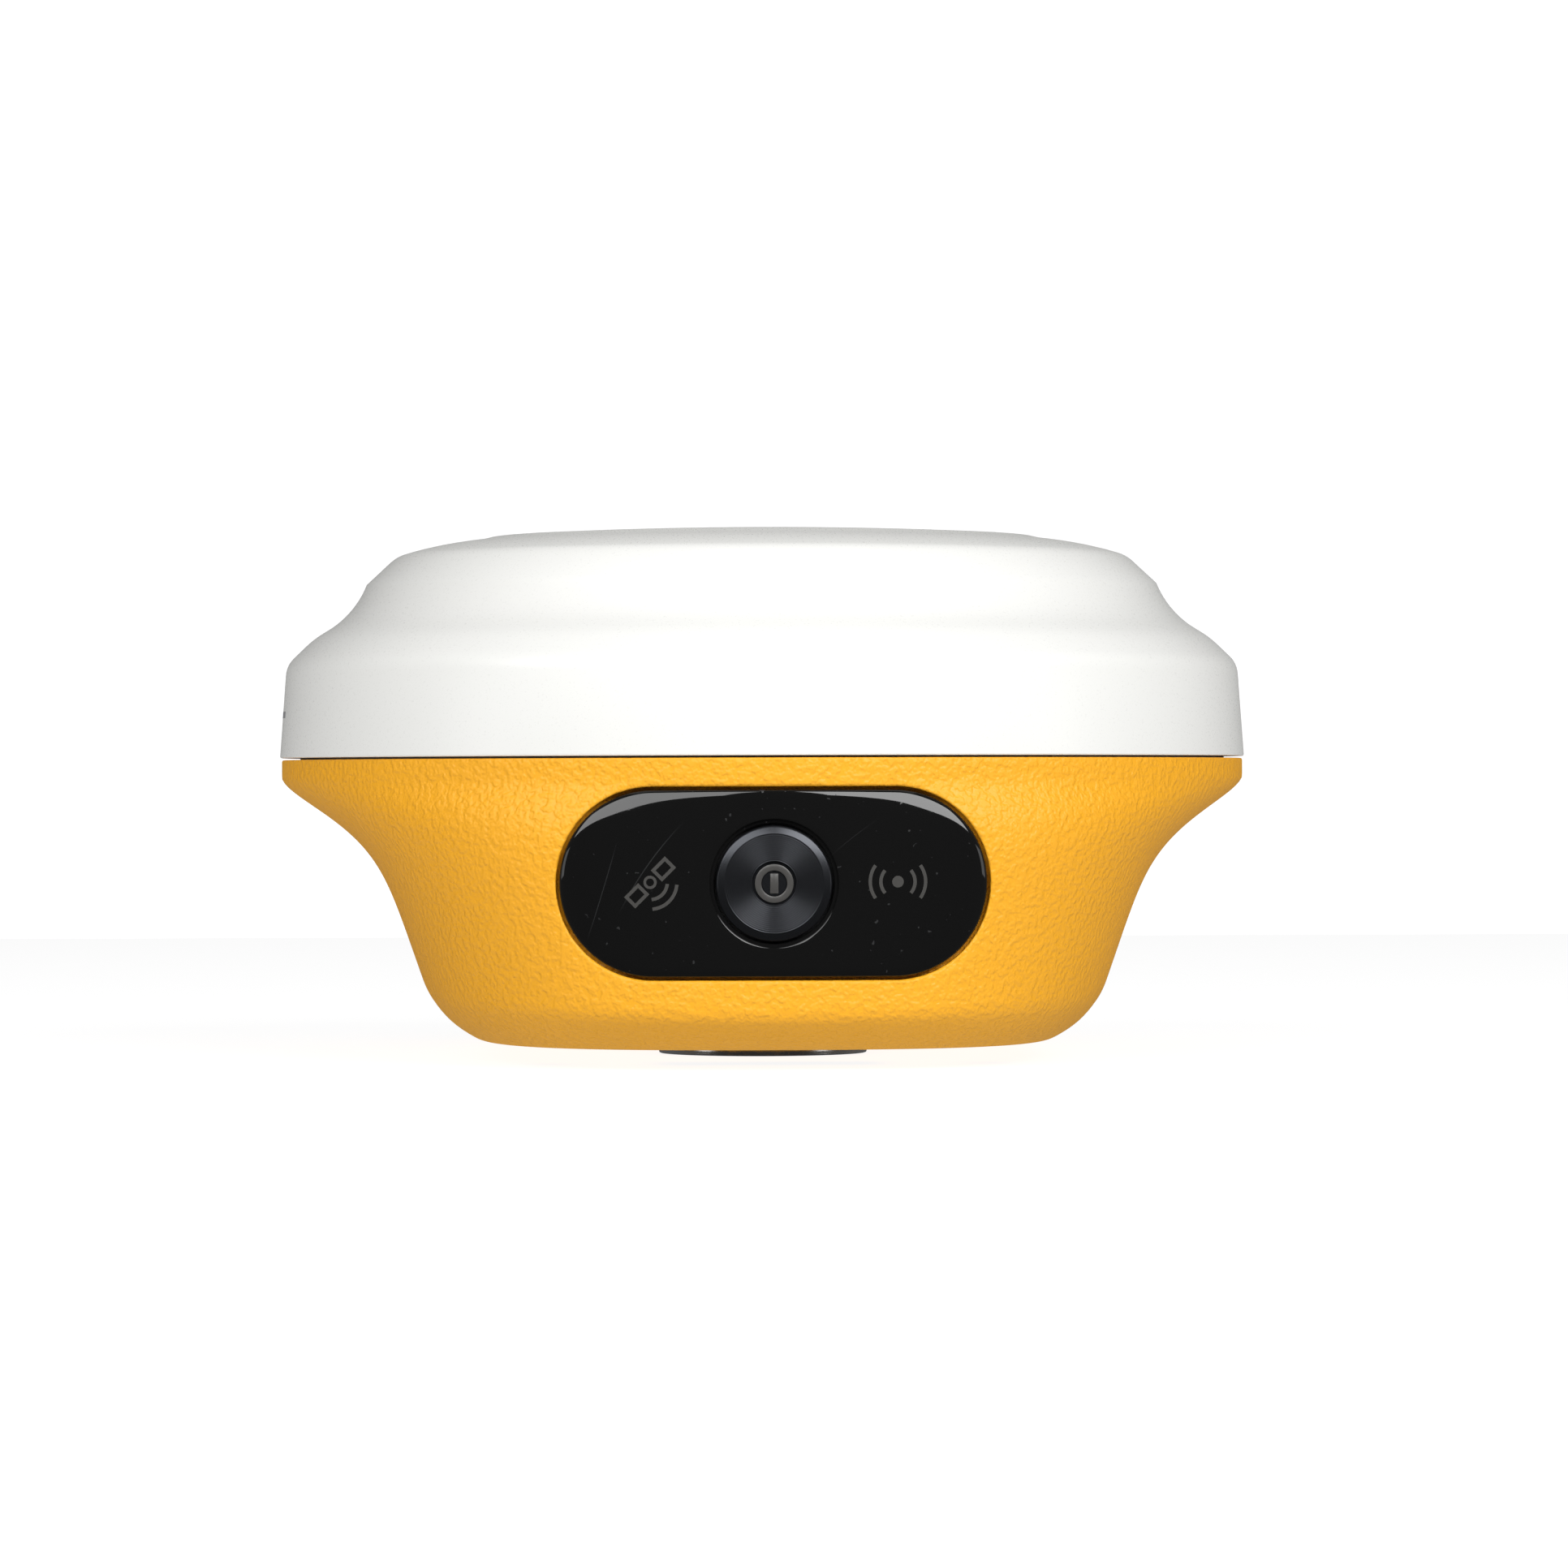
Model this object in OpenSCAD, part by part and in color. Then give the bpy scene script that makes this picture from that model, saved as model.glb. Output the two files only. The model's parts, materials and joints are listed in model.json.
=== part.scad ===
// Pole-mount satellite positioning receiver.
// A white antenna dome sits on a deep lower housing with pinched sides.
// Origin: centre of the pole thread's mouth. +Z is up and the button panel faces -Y.

/* [Overall size] */
// Diameter of the white dome at its lower rim
rim_d = 150; // [140:1:185]
// Height from the pole seat to the top of the dome
body_h = 81.4; // [79:0.2:98]
// Height of the lower housing's lip above the pole seat
lip_z = 45.7; // [45.7:0.1:54]
// How far the steel pole seat stands below the housing
seat_h = 2.8; // [2:0.1:3.4]

/* [Shells] */
// Wall of the lower housing
wall = 2.6; // [2:0.1:3.2]
// Wall of the dome
dome_wall = 2.2; // [1.8:0.1:2.8]
// Gap between the dome and the lower housing
parting = 0.3; // [0.2:0.05:0.6]
// Step between the dome's rim and the housing's lip
overhang = 0.3; // [0:0.05:0.6]
// Width of the waist at the bottom of the side scoops
waist_w = 104.6; // [102:1:122]

/* [Pole seat] */
// Minor diameter of the 5/8-11 pole thread
thread_d = 13.64; // [10:0.01:14.5]
// Depth of the threaded bore
thread_depth = 17; // [14:0.5:18]
// Diameter of the steel flange
seat_d = 32.4; // [31:0.1:34]

/* [Button panel] */
// Length of the black front panel
panel_w = 62.4; // [58:0.2:66]
// Height of the black front panel
panel_h = 27.2; // [22.6:0.1:29]
// Height of the panel's centre above the pole seat
panel_z = 27.4; // [26:0.2:28.4]
// Thickness of the front panel
panel_t = 2; // [1.6:0.1:2.4]
// Diameter of the power button's cap
button_d = 16.9; // [12:0.1:17.6]
// Travel of the power button
button_travel = 0.8; // [0.4:0.1:0.9]

/* [Port door] */
// Length of the door on the back
door_w = 39.4; // [36:0.2:44]
// Thickness of the door
door_t = 2.6; // [2.2:0.1:3]

/* [Power] */
// Diameter of one battery cell
cell_d = 18.5; // [15.4:0.1:18.9]
// Length of one battery cell
cell_l = 66; // [48:1:67]

/* [Antenna] */
// Diameter of the antenna's ground plate
plate_d = 100; // [92:1:100]
// Diameter of the lower antenna patch
lower_patch_d = 74; // [54:1:77]
// Height of the lower antenna patch
lower_patch_h = 8; // [5:0.5:8.5]
// Diameter of the upper antenna patch
upper_patch_d = 52; // [40:1:60]
// Height of the upper antenna patch
upper_patch_h = 6.4; // [4:0.2:6.8]

/* [Boards] */
// Diameter of the main board
board_d = 94; // [91:1:94]
// Thickness of every circuit board
board_t = 1.6; // [1:0.1:1.8]
// Height of the main board's underside above the pole seat
board_z = 28; // [27.6:0.1:28.4]

/* [Clearances] */
// Gap round a loose-fitting piece
slip = 0.3; // [0.2:0.05:0.4]
// Gap round a pin that turns or slides
run = 0.07; // [0.05:0.01:0.1]

/* [Hidden] */

$fn = 64;
eps = 0.02;

// ---- Lower housing's outline ------------------------------------------------
floor_z = seat_h;                          // underside of the housing
inner_floor = floor_z + wall;
lip_r = rim_d / 2 - overhang;
waist_r = waist_w / 2;
waist_z = 10.8;                            // where the side chamfer starts
front_waist_z = 7.8;                       // the same edge at the front and back
front_waist_r = lip_r - 0.8;
foot_side_r = waist_r - 8.1;               // flat underside, half width
foot_front_r = front_waist_r - 9.6;        // flat underside, half depth
flare_low = 7.8;
flare_high = lip_z - 2.9;
flare_power = 3.58;
side_slope = 0.35;
box_power = 2.9;                           // how square the plan is at the waist
plan_steps = 72;
wall_rings = 13;
chamfer_rings = 4;

function limit(v) = min(1, max(0, v));
function smooth(t) = t * t * (3 - 2 * t);
function flare(z) =
    smooth(pow(limit((z - flare_low) / (flare_high - flare_low)), flare_power));
function side_r(z) =
    let (line = waist_r + side_slope * (min(z, flare_high) - waist_z))
    line + (lip_r - waist_r - side_slope * (flare_high - waist_z)) * flare(z);
function front_r(z) =
    front_waist_r + (lip_r - front_waist_r)
        * limit((z - front_waist_z) / (lip_z - 2 - front_waist_z));
function plan_power(z) = 2 + (box_power - 2) * (1 - flare(z));
// Distance from the axis to the wall at angle q for half width a, half depth b
function plan_r(q, a, b, n) =
    1 / pow(pow(abs(cos(q)) / a, n) + pow(abs(sin(q)) / b, n), 1 / n);
function edge_z(q) = front_waist_z + (waist_z - front_waist_z) * pow(cos(q), 2);
// Depth of the outer wall at a point of the front or back
function wall_y(x, z) =
    front_r(z) * pow(1 - pow(abs(x) / side_r(z), plan_power(z)), 1 / plan_power(z));

// One point of the shell, inset by off, at angle q on ring k
function shell_point(q, k, off, top) =
    let (low = floor_z + off, edge = edge_z(q) + 0.3 * off)
    k < chamfer_rings
        ? let (t = k / chamfer_rings,
               foot = plan_r(q, foot_side_r - 0.4 * off, foot_front_r - 0.4 * off, box_power),
               waist = plan_r(q, side_r(edge) - off, front_r(edge) - off, box_power),
               bulge = 0.9 * sin(180 * t),
               r = foot + (waist - foot) * t + 0.7 * bulge)
          [r * cos(q), r * sin(q), low + (edge - low) * t - 0.7 * bulge]
        : let (t = (k - chamfer_rings) / wall_rings,
               z = edge + (top - edge) * t,
               r = plan_r(q, side_r(z) - off, front_r(z) - off, plan_power(z)))
          [r * cos(q), r * sin(q), z];

module shell(off, top) {
    rings = chamfer_rings + wall_rings + 1;
    points = [for (k = [0:rings - 1], j = [0:plan_steps - 1])
        shell_point(360 * j / plan_steps, k, off, top)];
    sides = [for (k = [0:rings - 2], j = [0:plan_steps - 1])
        let (n = (j + 1) % plan_steps, a = k * plan_steps, b = a + plan_steps)
        each [[a + j, b + j, b + n], [a + j, b + n, a + n]]];
    bottom = [for (j = [0:plan_steps - 1]) j];
    last = (rings - 1) * plan_steps;
    lid = [for (j = [plan_steps - 1:-1:0]) last + j];
    polyhedron(points, concat(sides, [bottom], [lid]));
}

// A curved slab that follows the outer wall, between two depths below its surface
module wall_slab(w, z0, z1, out, into, cols = 14, rows = 5) {
    count = (cols + 1) * (rows + 1);
    function at(i, j, d) =
        let (x = -w / 2 + w * i / cols, z = z0 + (z1 - z0) * j / rows)
        [x, -wall_y(x, z) + d, z];
    points = concat(
        [for (j = [0:rows], i = [0:cols]) at(i, j, out)],
        [for (j = [0:rows], i = [0:cols]) at(i, j, into)]);
    function id(i, j, s) = s * count + j * (cols + 1) + i;
    front = [for (j = [0:rows - 1], i = [0:cols - 1]) each [
        [id(i, j, 0), id(i, j + 1, 0), id(i + 1, j + 1, 0)],
        [id(i, j, 0), id(i + 1, j + 1, 0), id(i + 1, j, 0)]]];
    back = [for (j = [0:rows - 1], i = [0:cols - 1]) each [
        [id(i, j, 1), id(i + 1, j + 1, 1), id(i, j + 1, 1)],
        [id(i, j, 1), id(i + 1, j, 1), id(i + 1, j + 1, 1)]]];
    ends = [for (j = [0:rows - 1]) each [
        [id(0, j, 0), id(0, j, 1), id(0, j + 1, 1)],
        [id(0, j, 0), id(0, j + 1, 1), id(0, j + 1, 0)],
        [id(cols, j, 0), id(cols, j + 1, 1), id(cols, j, 1)],
        [id(cols, j, 0), id(cols, j + 1, 0), id(cols, j + 1, 1)]]];
    caps = [for (i = [0:cols - 1]) each [
        [id(i, 0, 0), id(i + 1, 0, 1), id(i, 0, 1)],
        [id(i, 0, 0), id(i + 1, 0, 0), id(i + 1, 0, 1)],
        [id(i, rows, 0), id(i, rows, 1), id(i + 1, rows, 1)],
        [id(i, rows, 0), id(i + 1, rows, 1), id(i + 1, rows, 0)]]];
    polyhedron(points, concat(front, back, ends, caps));
}

// ---- Shared places -----------------------------------------------------------
gasket_z = lip_z - 3.1;                    // ledge that carries the main gasket
gasket_t = 1.6;
rebate_r = lip_r - wall + 0.15;            // bore in the lip that the dome's tongue enters
tongue_r = rebate_r - 0.15 - slip;
tongue_t = 2.1;
dome_z = lip_z + parting;                  // lower rim of the dome
tower_x = 33;                              // the four case screws
tower_y = 43;
tower_r = 4.6;
tower_top = 45;
well_r = 3.2;
tower_web = 3;
case_screw_l = 9;
insert_r = 2.4;
insert_h = 6;
post_r = 3.2;
post_y = 14.4;
strap_post_top = 9;
boss_r = 17;                               // boss round the pole seat
boss_top = 24;
seat_body_r = 10.5;
seat_body_top = 20;
seat_seal_t = 0.5;
hub_screw_r = 13.2;
hub_screw_l = 9;
vent_y = 48;
board_top = board_z + board_t;
plate_z = board_z + board_t + 18.4;
plate_top = plate_z + board_t;

// Front panel and button
panel_y = -wall_y(0, panel_z);             // outer face at the button
panel_gap = 0.5;
panel_seal_t = 0.3;
panel_back = panel_y + panel_t;
button_r = button_d / 2;
button_proud = 0.45;
cap_t = 1.3;
cap_back = panel_y - button_proud + cap_t;
guide_t = 4.2;
guide_back = panel_back + guide_t;
guide_r = button_r + 1.5;
stem_r = 4;
window_w = panel_w - 6.4;
window_h = max(panel_h - 6.2, 2 * guide_r + 1);
pad_t = wall + 2;
clip_t = 0.5;
clip_front = guide_back + slip;
stem_end = clip_front + clip_t + 0.4;
plunger_r = 1.7;
plunger_l = 2.2;
switch_t = 3.2;
switch_front = stem_end + button_travel + slip;
key_board_y = switch_front + switch_t;
key_board_w = 66;
key_board_h = 17;
key_post_x = 30.5;
pipe_x = 18;
icon_x = 18;
icon_y = panel_y + 1.7;                    // how deep the icons reach

// Port bay on the back
port_z = board_z + 1.7;
door_h = 17.4;
door_face = wall_y(0, port_z - 9) - 0.7;
door_back = door_face - door_t;
bay_floor = door_back - slip;
barrel_r = door_t / 2;
hinge_y = door_face - barrel_r;
hinge_z = port_z - door_h / 2 + barrel_r;
hinge_w = 33;
ear_top = 1.6;                             // height of the hinge blocks above the pin
ear_room = 0.75;                           // room over them for the opening door
pin_r = 0.8;
tub_w = 32;
tub_h = 11.6;
tub_wall = 1.2;
flange_w = tub_w + 4;
flange_h = tub_h + 3.2;
flange_t = 1.2;
tub_floor = bay_floor - 9.5;
port_pad_y = bay_floor - 4.4;
usb_x = -8;
sim_x = 6;
tab_w = 34;
tab_end = tub_floor - slip;

// Battery
cell_x = boss_r + 0.7 + cell_d / 2;
// The cells' tops stand clear of the pole seat's boss, so the strap passes over it
cell_z = max(inner_floor + 0.65 + cell_d / 2, boss_top + 0.35 - cell_d / 2);
cell_side = cell_x + cell_d / 2;
gnss_w = 71;                               // width of the positioning board
// The four board posts stand clear of the cells and of the positioning board
post_x = max(cell_side + 0.4, gnss_w / 2 + 0.5) + post_r;
strap_z = cell_z + cell_d / 2 + 0.15;
strap_t = 1.2;
strap_w = 12;
strap_leg_x = cell_side + 0.5;
strap_post_x = cell_side + 4.8;
cradle_h = cell_z - cell_d / 2 - inner_floor + 4.35;
plug_y = -30;                              // battery connector under the board
plug_h = 3.5;
wire_r = 0.7;
wire_bend = 3;

module stadium(w, h) {
    square([w - h, h], center = true);
    for (s = [-1, 1]) translate([s * (w - h) / 2, 0]) circle(d = h);
}

module rounded(w, h, r) {
    square([w - 2 * r, h], center = true);
    square([w, h - 2 * r], center = true);
    for (sx = [-1, 1], sy = [-1, 1])
        translate([sx * (w / 2 - r), sy * (h / 2 - r)]) circle(r);
}

// Lays a flat outline up in the XZ plane at height z, from depth y0 to y1
module upright(y0, y1, z = 0, x = 0) {
    translate([x, y1, z]) rotate([90, 0, 0]) linear_extrude(y1 - y0) children();
}

module tube(r, inner, z0, z1) {
    translate([0, 0, z0]) difference() {
        cylinder(r = r, h = z1 - z0);
        translate([0, 0, -1]) cylinder(r = inner, h = z1 - z0 + 2);
    }
}

module at_towers() {
    for (sx = [-1, 1], sy = [-1, 1]) translate([sx * tower_x, sy * tower_y, 0]) children();
}

module at_posts() {
    for (sx = [-1, 1], sy = [-1, 1]) translate([sx * post_x, sy * post_y, 0]) children();
}

// A cap screw: head from z = 0 up, shank from z = 0 down
module screw(d, length, head_d, head_h) {
    difference() {
        union() {
            cylinder(d = head_d, h = head_h);
            translate([0, 0, -length]) cylinder(d = d, h = length + eps);
        }
        translate([0, 0, head_h - 0.6 * head_h])
            cylinder(d = d * 0.9, h = head_h, $fn = 6);
    }
}

// ---- Dome --------------------------------------------------------------------
rim_r = rim_d / 2;
disc_r = rim_r - 32.6;

// Points of an arc of radius r from p to q, ends left out
function arc(p, q, r, side, n) =
    let (d = q - p, l = norm(d), h = sqrt(r * r - l * l / 4),
         c = (p + q) / 2 + side * h / l * [-d[1], d[0]],
         a = atan2(p[1] - c[1], p[0] - c[0]),
         turn = -side * 2 * asin(l / 2 / r))
    [for (i = [1:n - 1]) c + r * [cos(a - turn * i / n), sin(a - turn * i / n)]];

ridge = [rim_r - 1.05, body_h - 21];
cove_low = [rim_r - 8.1, body_h - 15.2];
cove_high = [rim_r - 13.5, body_h - 8.5];
shoulder = [rim_r - 18.1, body_h - 4.2];
disc_foot = [disc_r + 1.9, body_h - 1.65];
disc_edge = [disc_r, body_h - 1.2];
dome_top = [0, body_h];
tongue_top = dome_z + 4;

// Radius of the dome's rim wall at height z
function rim_wall_r(z) = rim_r + (ridge[0] - rim_r) * (z - dome_z) / (ridge[1] - dome_z);

outer_outline = concat(
    [[rim_r - 0.5, dome_z], [rim_r, dome_z + 0.5], ridge,
     [rim_r - 5.2, body_h - 17], cove_low],
    arc(cove_low, cove_high, 14.7, -1, 6), [cove_high, shoulder],
    arc(shoulder, disc_foot, 35, 1, 5), [disc_foot, disc_edge],
    arc(disc_edge, dome_top, 750, 1, 4), [dome_top]);

inner_outline = [
    [0, body_h - dome_wall - 0.4],
    [disc_foot[0], disc_foot[1] - dome_wall],
    shoulder - 0.7 * dome_wall * [1, 1],
    cove_high - dome_wall * [0.9, 0.4],
    cove_low - dome_wall * [0.64, 0.77],
    [rim_r - 5.2 - dome_wall, body_h - 17 - 0.41 * dome_wall],
    ridge - dome_wall * [1, 0.41],
    [rim_wall_r(tongue_top) - dome_wall, tongue_top],
    [tongue_r - tongue_t, tongue_top],
    [tongue_r - tongue_t, gasket_z + gasket_t],
    [tongue_r, gasket_z + gasket_t],
    [tongue_r, dome_z]];

mark_z = dome_z + 6.2;
mark_h = 1;
mark_deep = 0.4;
mark_angle = 17;
module mark_ring() {
    rotate([0, 0, 180 - mark_angle / 2]) rotate_extrude(angle = mark_angle)
        polygon([
            [rim_wall_r(mark_z) - mark_deep, mark_z],
            [rim_wall_r(mark_z), mark_z],
            [rim_wall_r(mark_z + mark_h), mark_z + mark_h],
            [rim_wall_r(mark_z) - mark_deep, mark_z + mark_h]]);
}

module radome() {
    post_low = tower_top + slip;
    color("white") difference() {
        union() {
            rotate_extrude() polygon(concat(outer_outline, inner_outline));
            at_towers() translate([0, 0, post_low])
                cylinder(r = 4.2, h = shoulder[1] - 2.4 - post_low);
        }
        at_towers() translate([0, 0, post_low - 1]) {
            cylinder(r = insert_r, h = insert_h + 1);
            cylinder(r = 1.3, h = insert_h + 3);
        }
        mark_ring();
    }
}

module height_mark() { color("dimgray") mark_ring(); }

module radome_inserts() {
    color("goldenrod") at_towers()
        tube(insert_r, 1.5, tower_top + slip, tower_top + slip + insert_h);
}

module main_gasket() {
    color("black") tube(tongue_r, tongue_r - tongue_t + 0.2, gasket_z, gasket_z + gasket_t);
}

// ---- Lower housing -------------------------------------------------------------
module panel_shape(grow) { stadium(panel_w + 2 * grow, panel_h + 2 * grow); }

// The stretch of wall round the front panel, between two depths below its surface
module panel_slab(out, into) {
    wall_slab(panel_w + 6, panel_z - panel_h / 2 - 2, panel_z + panel_h / 2 + 2, out, into);
}

// Everything that stands inside the housing and is moulded with it
module inner_features() {
    translate([0, 0, floor_z]) cylinder(r = boss_r, h = boss_top - floor_z);
    at_towers() translate([0, 0, floor_z]) cylinder(r = tower_r, h = tower_top - floor_z);
    at_posts() translate([0, 0, floor_z]) cylinder(r = post_r, h = board_z - floor_z);
    for (s = [-1, 1]) {
        translate([s * strap_post_x, 0, floor_z])
            cylinder(r = 3, h = strap_post_top - floor_z);
        upright(-rim_r, key_board_y, panel_z, s * key_post_x) circle(r = 2.4);
    }
    tube(rim_r, tongue_r - tongue_t - 1.4, gasket_z - 2.9, gasket_z);
    intersection() {
        wall_slab(panel_w + 8, panel_z - panel_h / 2 - 3, gasket_z - 0.1, 0.5, pad_t);
        upright(-rim_r, -rim_r / 2, panel_z) panel_shape(2.5);
    }
    upright(port_pad_y, rim_r, port_z) rounded(door_w + 5, door_h + 4, 5);
}

module lower_housing() {
    color("orange") difference() {
        shell(0, lip_z);
        difference() {
            shell(wall, gasket_z + 0.5);
            inner_features();
        }
        translate([0, 0, gasket_z]) cylinder(r = rebate_r, h = lip_z);
        // pole seat
        translate([0, 0, floor_z - 1])
            cylinder(r = seat_body_r, h = seat_body_top - floor_z + 1);
        at_hub_screws() translate([0, 0, floor_z - 1]) cylinder(r = 1.25, h = hub_screw_l);
        // screw wells
        at_towers() {
            cylinder(r = well_r, h = tower_top - tower_web);
            cylinder(r = 1.6, h = tower_top + 1);
        }
        at_posts() translate([0, 0, board_z - 6.5]) cylinder(r = 1.25, h = 7);
        for (s = [-1, 1]) {
            translate([s * strap_post_x, 0, strap_post_top - 4.4])
                cylinder(r = 1.25, h = 5);
            upright(key_board_y - 4, key_board_y + 1, panel_z, s * key_post_x)
                circle(r = 0.95);
        }
        translate([0, vent_y, 0]) cylinder(r = 2.6, h = inner_floor + 1);
        // front panel
        intersection() {
            panel_slab(-4, panel_t + panel_seal_t);
            upright(-rim_r - 2, -rim_r / 2, panel_z) panel_shape(panel_gap);
        }
        upright(-rim_r - 2, -rim_r / 2, panel_z) stadium(window_w, window_h);
        // port bay
        difference() {
            upright(bay_floor, rim_r + 2, port_z)
                rounded(door_w + 2 * slip, door_h + 2 * slip, 4);
            for (s = [-1, 1]) ear(s);
        }
        upright(bay_floor - flange_t, bay_floor + 1, port_z)
            rounded(flange_w + 0.1, flange_h + 0.1, 3);
        upright(port_pad_y - 2, bay_floor, port_z) rounded(tub_w + 0.1, tub_h + 0.1, 3);
        translate([-hinge_w / 2 - slip - 2.6, hinge_y, hinge_z]) rotate([0, 90, 0])
            cylinder(r = pin_r, h = hinge_w + 2 * slip + 5.2);
    }
}

// Block at one end of the hinge that holds the pin
module ear(s) {
    x0 = hinge_w / 2 + slip;
    translate([s > 0 ? x0 : -x0 - 6, bay_floor - 1, hinge_z - barrel_r - 2])
        cube([6, door_face - bay_floor + 1, barrel_r + 2 + ear_top]);
}

module at_hub_screws() {
    for (q = [90, 210, 330]) rotate([0, 0, q]) translate([hub_screw_r, 0, 0]) children();
}

module case_screws() {
    color("silver") at_towers() translate([0, 0, tower_top - tower_web])
        rotate([180, 0, 0]) screw(3, case_screw_l, 5.5, 2.6);
}

module screw_plugs() {
    color("black") at_towers() translate([0, 0, floor_z]) cylinder(r = well_r - 0.03, h = 5);
}

module hub_insert() {
    flange = floor_z - seat_seal_t;
    color("lightgray") difference() {
        union() {
            cylinder(d = seat_d, h = flange);
            cylinder(r = seat_body_r, h = seat_body_top);
        }
        translate([0, 0, -1]) cylinder(d = thread_d, h = thread_depth + 1);
        at_hub_screws() {
            cylinder(r = 1.25, h = flange + 1);
            translate([0, 0, -eps]) cylinder(r1 = 2.5, r2 = 1.25, h = 1.25);
        }
    }
}

module hub_seal() {
    color("black") difference() {
        tube(seat_d / 2 - 0.3, seat_body_r, floor_z - seat_seal_t, floor_z);
        at_hub_screws() cylinder(r = 1.25, h = floor_z + 1);
    }
}

module hub_screws() {
    color("silver") at_hub_screws() difference() {
        union() {
            cylinder(r1 = 2.45, r2 = 1.2, h = 1.25);
            cylinder(r = 1.2, h = hub_screw_l);
        }
        translate([0, 0, -1]) cylinder(r = 0.8, h = 1.8, $fn = 6);
    }
}

module vent_plug() {
    color("dimgray") translate([0, vent_y, 0]) difference() {
        union() {
            translate([0, 0, floor_z - 1]) cylinder(r = 4.5, h = 1);
            translate([0, 0, floor_z - eps]) cylinder(r = 2.5, h = wall + 1.2);
            translate([0, 0, inner_floor]) cylinder(r1 = 3, r2 = 2.5, h = 1);
        }
        translate([0, 0, floor_z]) cylinder(r = 1.6, h = wall + 2);
    }
}

module type_plate() {
    color("silver") translate([0, -42, floor_z - 0.3])
        linear_extrude(0.3) rounded(34, 14, 2);
}

// ---- Front panel and button -----------------------------------------------------
module panel_plate() {
    intersection() {
        panel_slab(0, panel_t);
        upright(-rim_r - 2, -rim_r / 2, panel_z) panel_shape(0);
    }
}

stroke = 0.5;
module ring_part(r, from, to) {
    intersection() {
        difference() {
            circle(r = r + stroke / 2);
            circle(r = r - stroke / 2);
        }
        polygon([[0, 0], 2 * r * [cos(from), sin(from)],
            2 * r * [cos((from + to) / 2), sin((from + to) / 2)],
            2 * r * [cos(to), sin(to)]]);
    }
}

module frame_outline(w, h) {
    difference() {
        square([w, h], center = true);
        square([w - 2 * stroke, h - 2 * stroke], center = true);
    }
}

module satellite_shape() {
    circle(r = 0.9);
    for (s = [-1, 1]) rotate(45) translate([s * 2.75, 0]) frame_outline(2.9, 2.3);
    for (r = [2.5, 3.9]) ring_part(r, -85, -5);
}

module signal_shape() {
    circle(r = 0.85);
    for (q = [0, 180]) {
        rotate(q) ring_part(2.5, -41, 41);
        rotate(q) ring_part(4.05, -36, 36);
    }
}

module satellite_cut() {
    upright(-rim_r - 2, icon_y, panel_z + 0.2, -icon_x) satellite_shape();
}

module signal_cut() {
    upright(-rim_r - 2, icon_y, panel_z + 0.2, icon_x) signal_shape();
}

module front_panel() {
    color("#151614") difference() {
        panel_plate();
        upright(-rim_r - 2, -rim_r / 2, panel_z) circle(r = button_r + slip);
        upright(-rim_r - 2, panel_y + 0.6, panel_z) circle(r = button_r + 0.9);
        satellite_cut();
        signal_cut();
    }
}

module panel_gasket() {
    color("black") difference() {
        intersection() {
            panel_slab(panel_t, panel_t + panel_seal_t);
            upright(-rim_r - 2, -rim_r / 2, panel_z) panel_shape(-0.2);
        }
        upright(-rim_r - 2, -rim_r / 2, panel_z) stadium(window_w, window_h);
    }
}

module satellite_window() {
    color("gray") intersection() { panel_plate(); satellite_cut(); }
}

module signal_window() {
    color("gray") intersection() { panel_plate(); signal_cut(); }
}

icon_ring_r = 2.85;
icon_hole_r = 1.8;
icon_deep = 0.7;
cap_front = panel_y - button_proud;

module power_button() {
    seal_y = (panel_back + guide_back) / 2;
    color("#2c2d2f") difference() {
        union() {
            upright(cap_front, cap_back, panel_z) circle(r = button_r);
            upright(cap_back - eps, stem_end, panel_z) circle(r = stem_r);
        }
        button_icon_cut();
        upright(seal_y - 0.65, seal_y + 0.65, panel_z) difference() {
            circle(r = stem_r + 1);
            circle(r = stem_r - 0.95);
        }
        upright(clip_front, clip_front + clip_t, panel_z) difference() {
            circle(r = stem_r + 1);
            circle(r = stem_r - 0.7);
        }
    }
}

module button_icon_cut() {
    upright(cap_front - eps, cap_front + icon_deep, panel_z) difference() {
        circle(r = icon_ring_r);
        circle(r = icon_hole_r);
    }
    upright(cap_front - eps, cap_front + icon_deep, panel_z) square([1.2, 2.9], center = true);
}

module button_icon() {
    color("gray") intersection() {
        button_icon_cut();
        upright(cap_front, cap_back, panel_z) circle(r = button_r);
    }
}

module button_guide() {
    color("#333333") difference() {
        upright(panel_back - 1, guide_back, panel_z) difference() {
            circle(r = guide_r);
            circle(r = stem_r + run);
        }
        panel_slab(-6, panel_t);
        upright(panel_y - 1, cap_back + button_travel + slip, panel_z)
            circle(r = button_r + slip);
    }
}

module button_seal() {
    seal_y = (panel_back + guide_back) / 2;
    color("black") translate([0, seal_y, panel_z]) rotate([90, 0, 0])
        rotate_extrude() translate([stem_r - 0.4, 0]) circle(r = 0.45);
}

module button_clip() {
    color("silver") upright(clip_front, clip_front + clip_t, panel_z) difference() {
        circle(r = stem_r + 1.2);
        circle(r = stem_r - 0.7);
        translate([0, -stem_r - 1]) square([4, 4], center = true);
    }
}

module switch_plunger() {
    color("saddlebrown") upright(stem_end, stem_end + plunger_l, panel_z)
        circle(r = plunger_r);
}

module switch_body() {
    color("dimgray") difference() {
        upright(switch_front, key_board_y, panel_z) square(7, center = true);
        upright(switch_front - 1, switch_front + plunger_l, panel_z)
            circle(r = plunger_r + run);
    }
}

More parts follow.
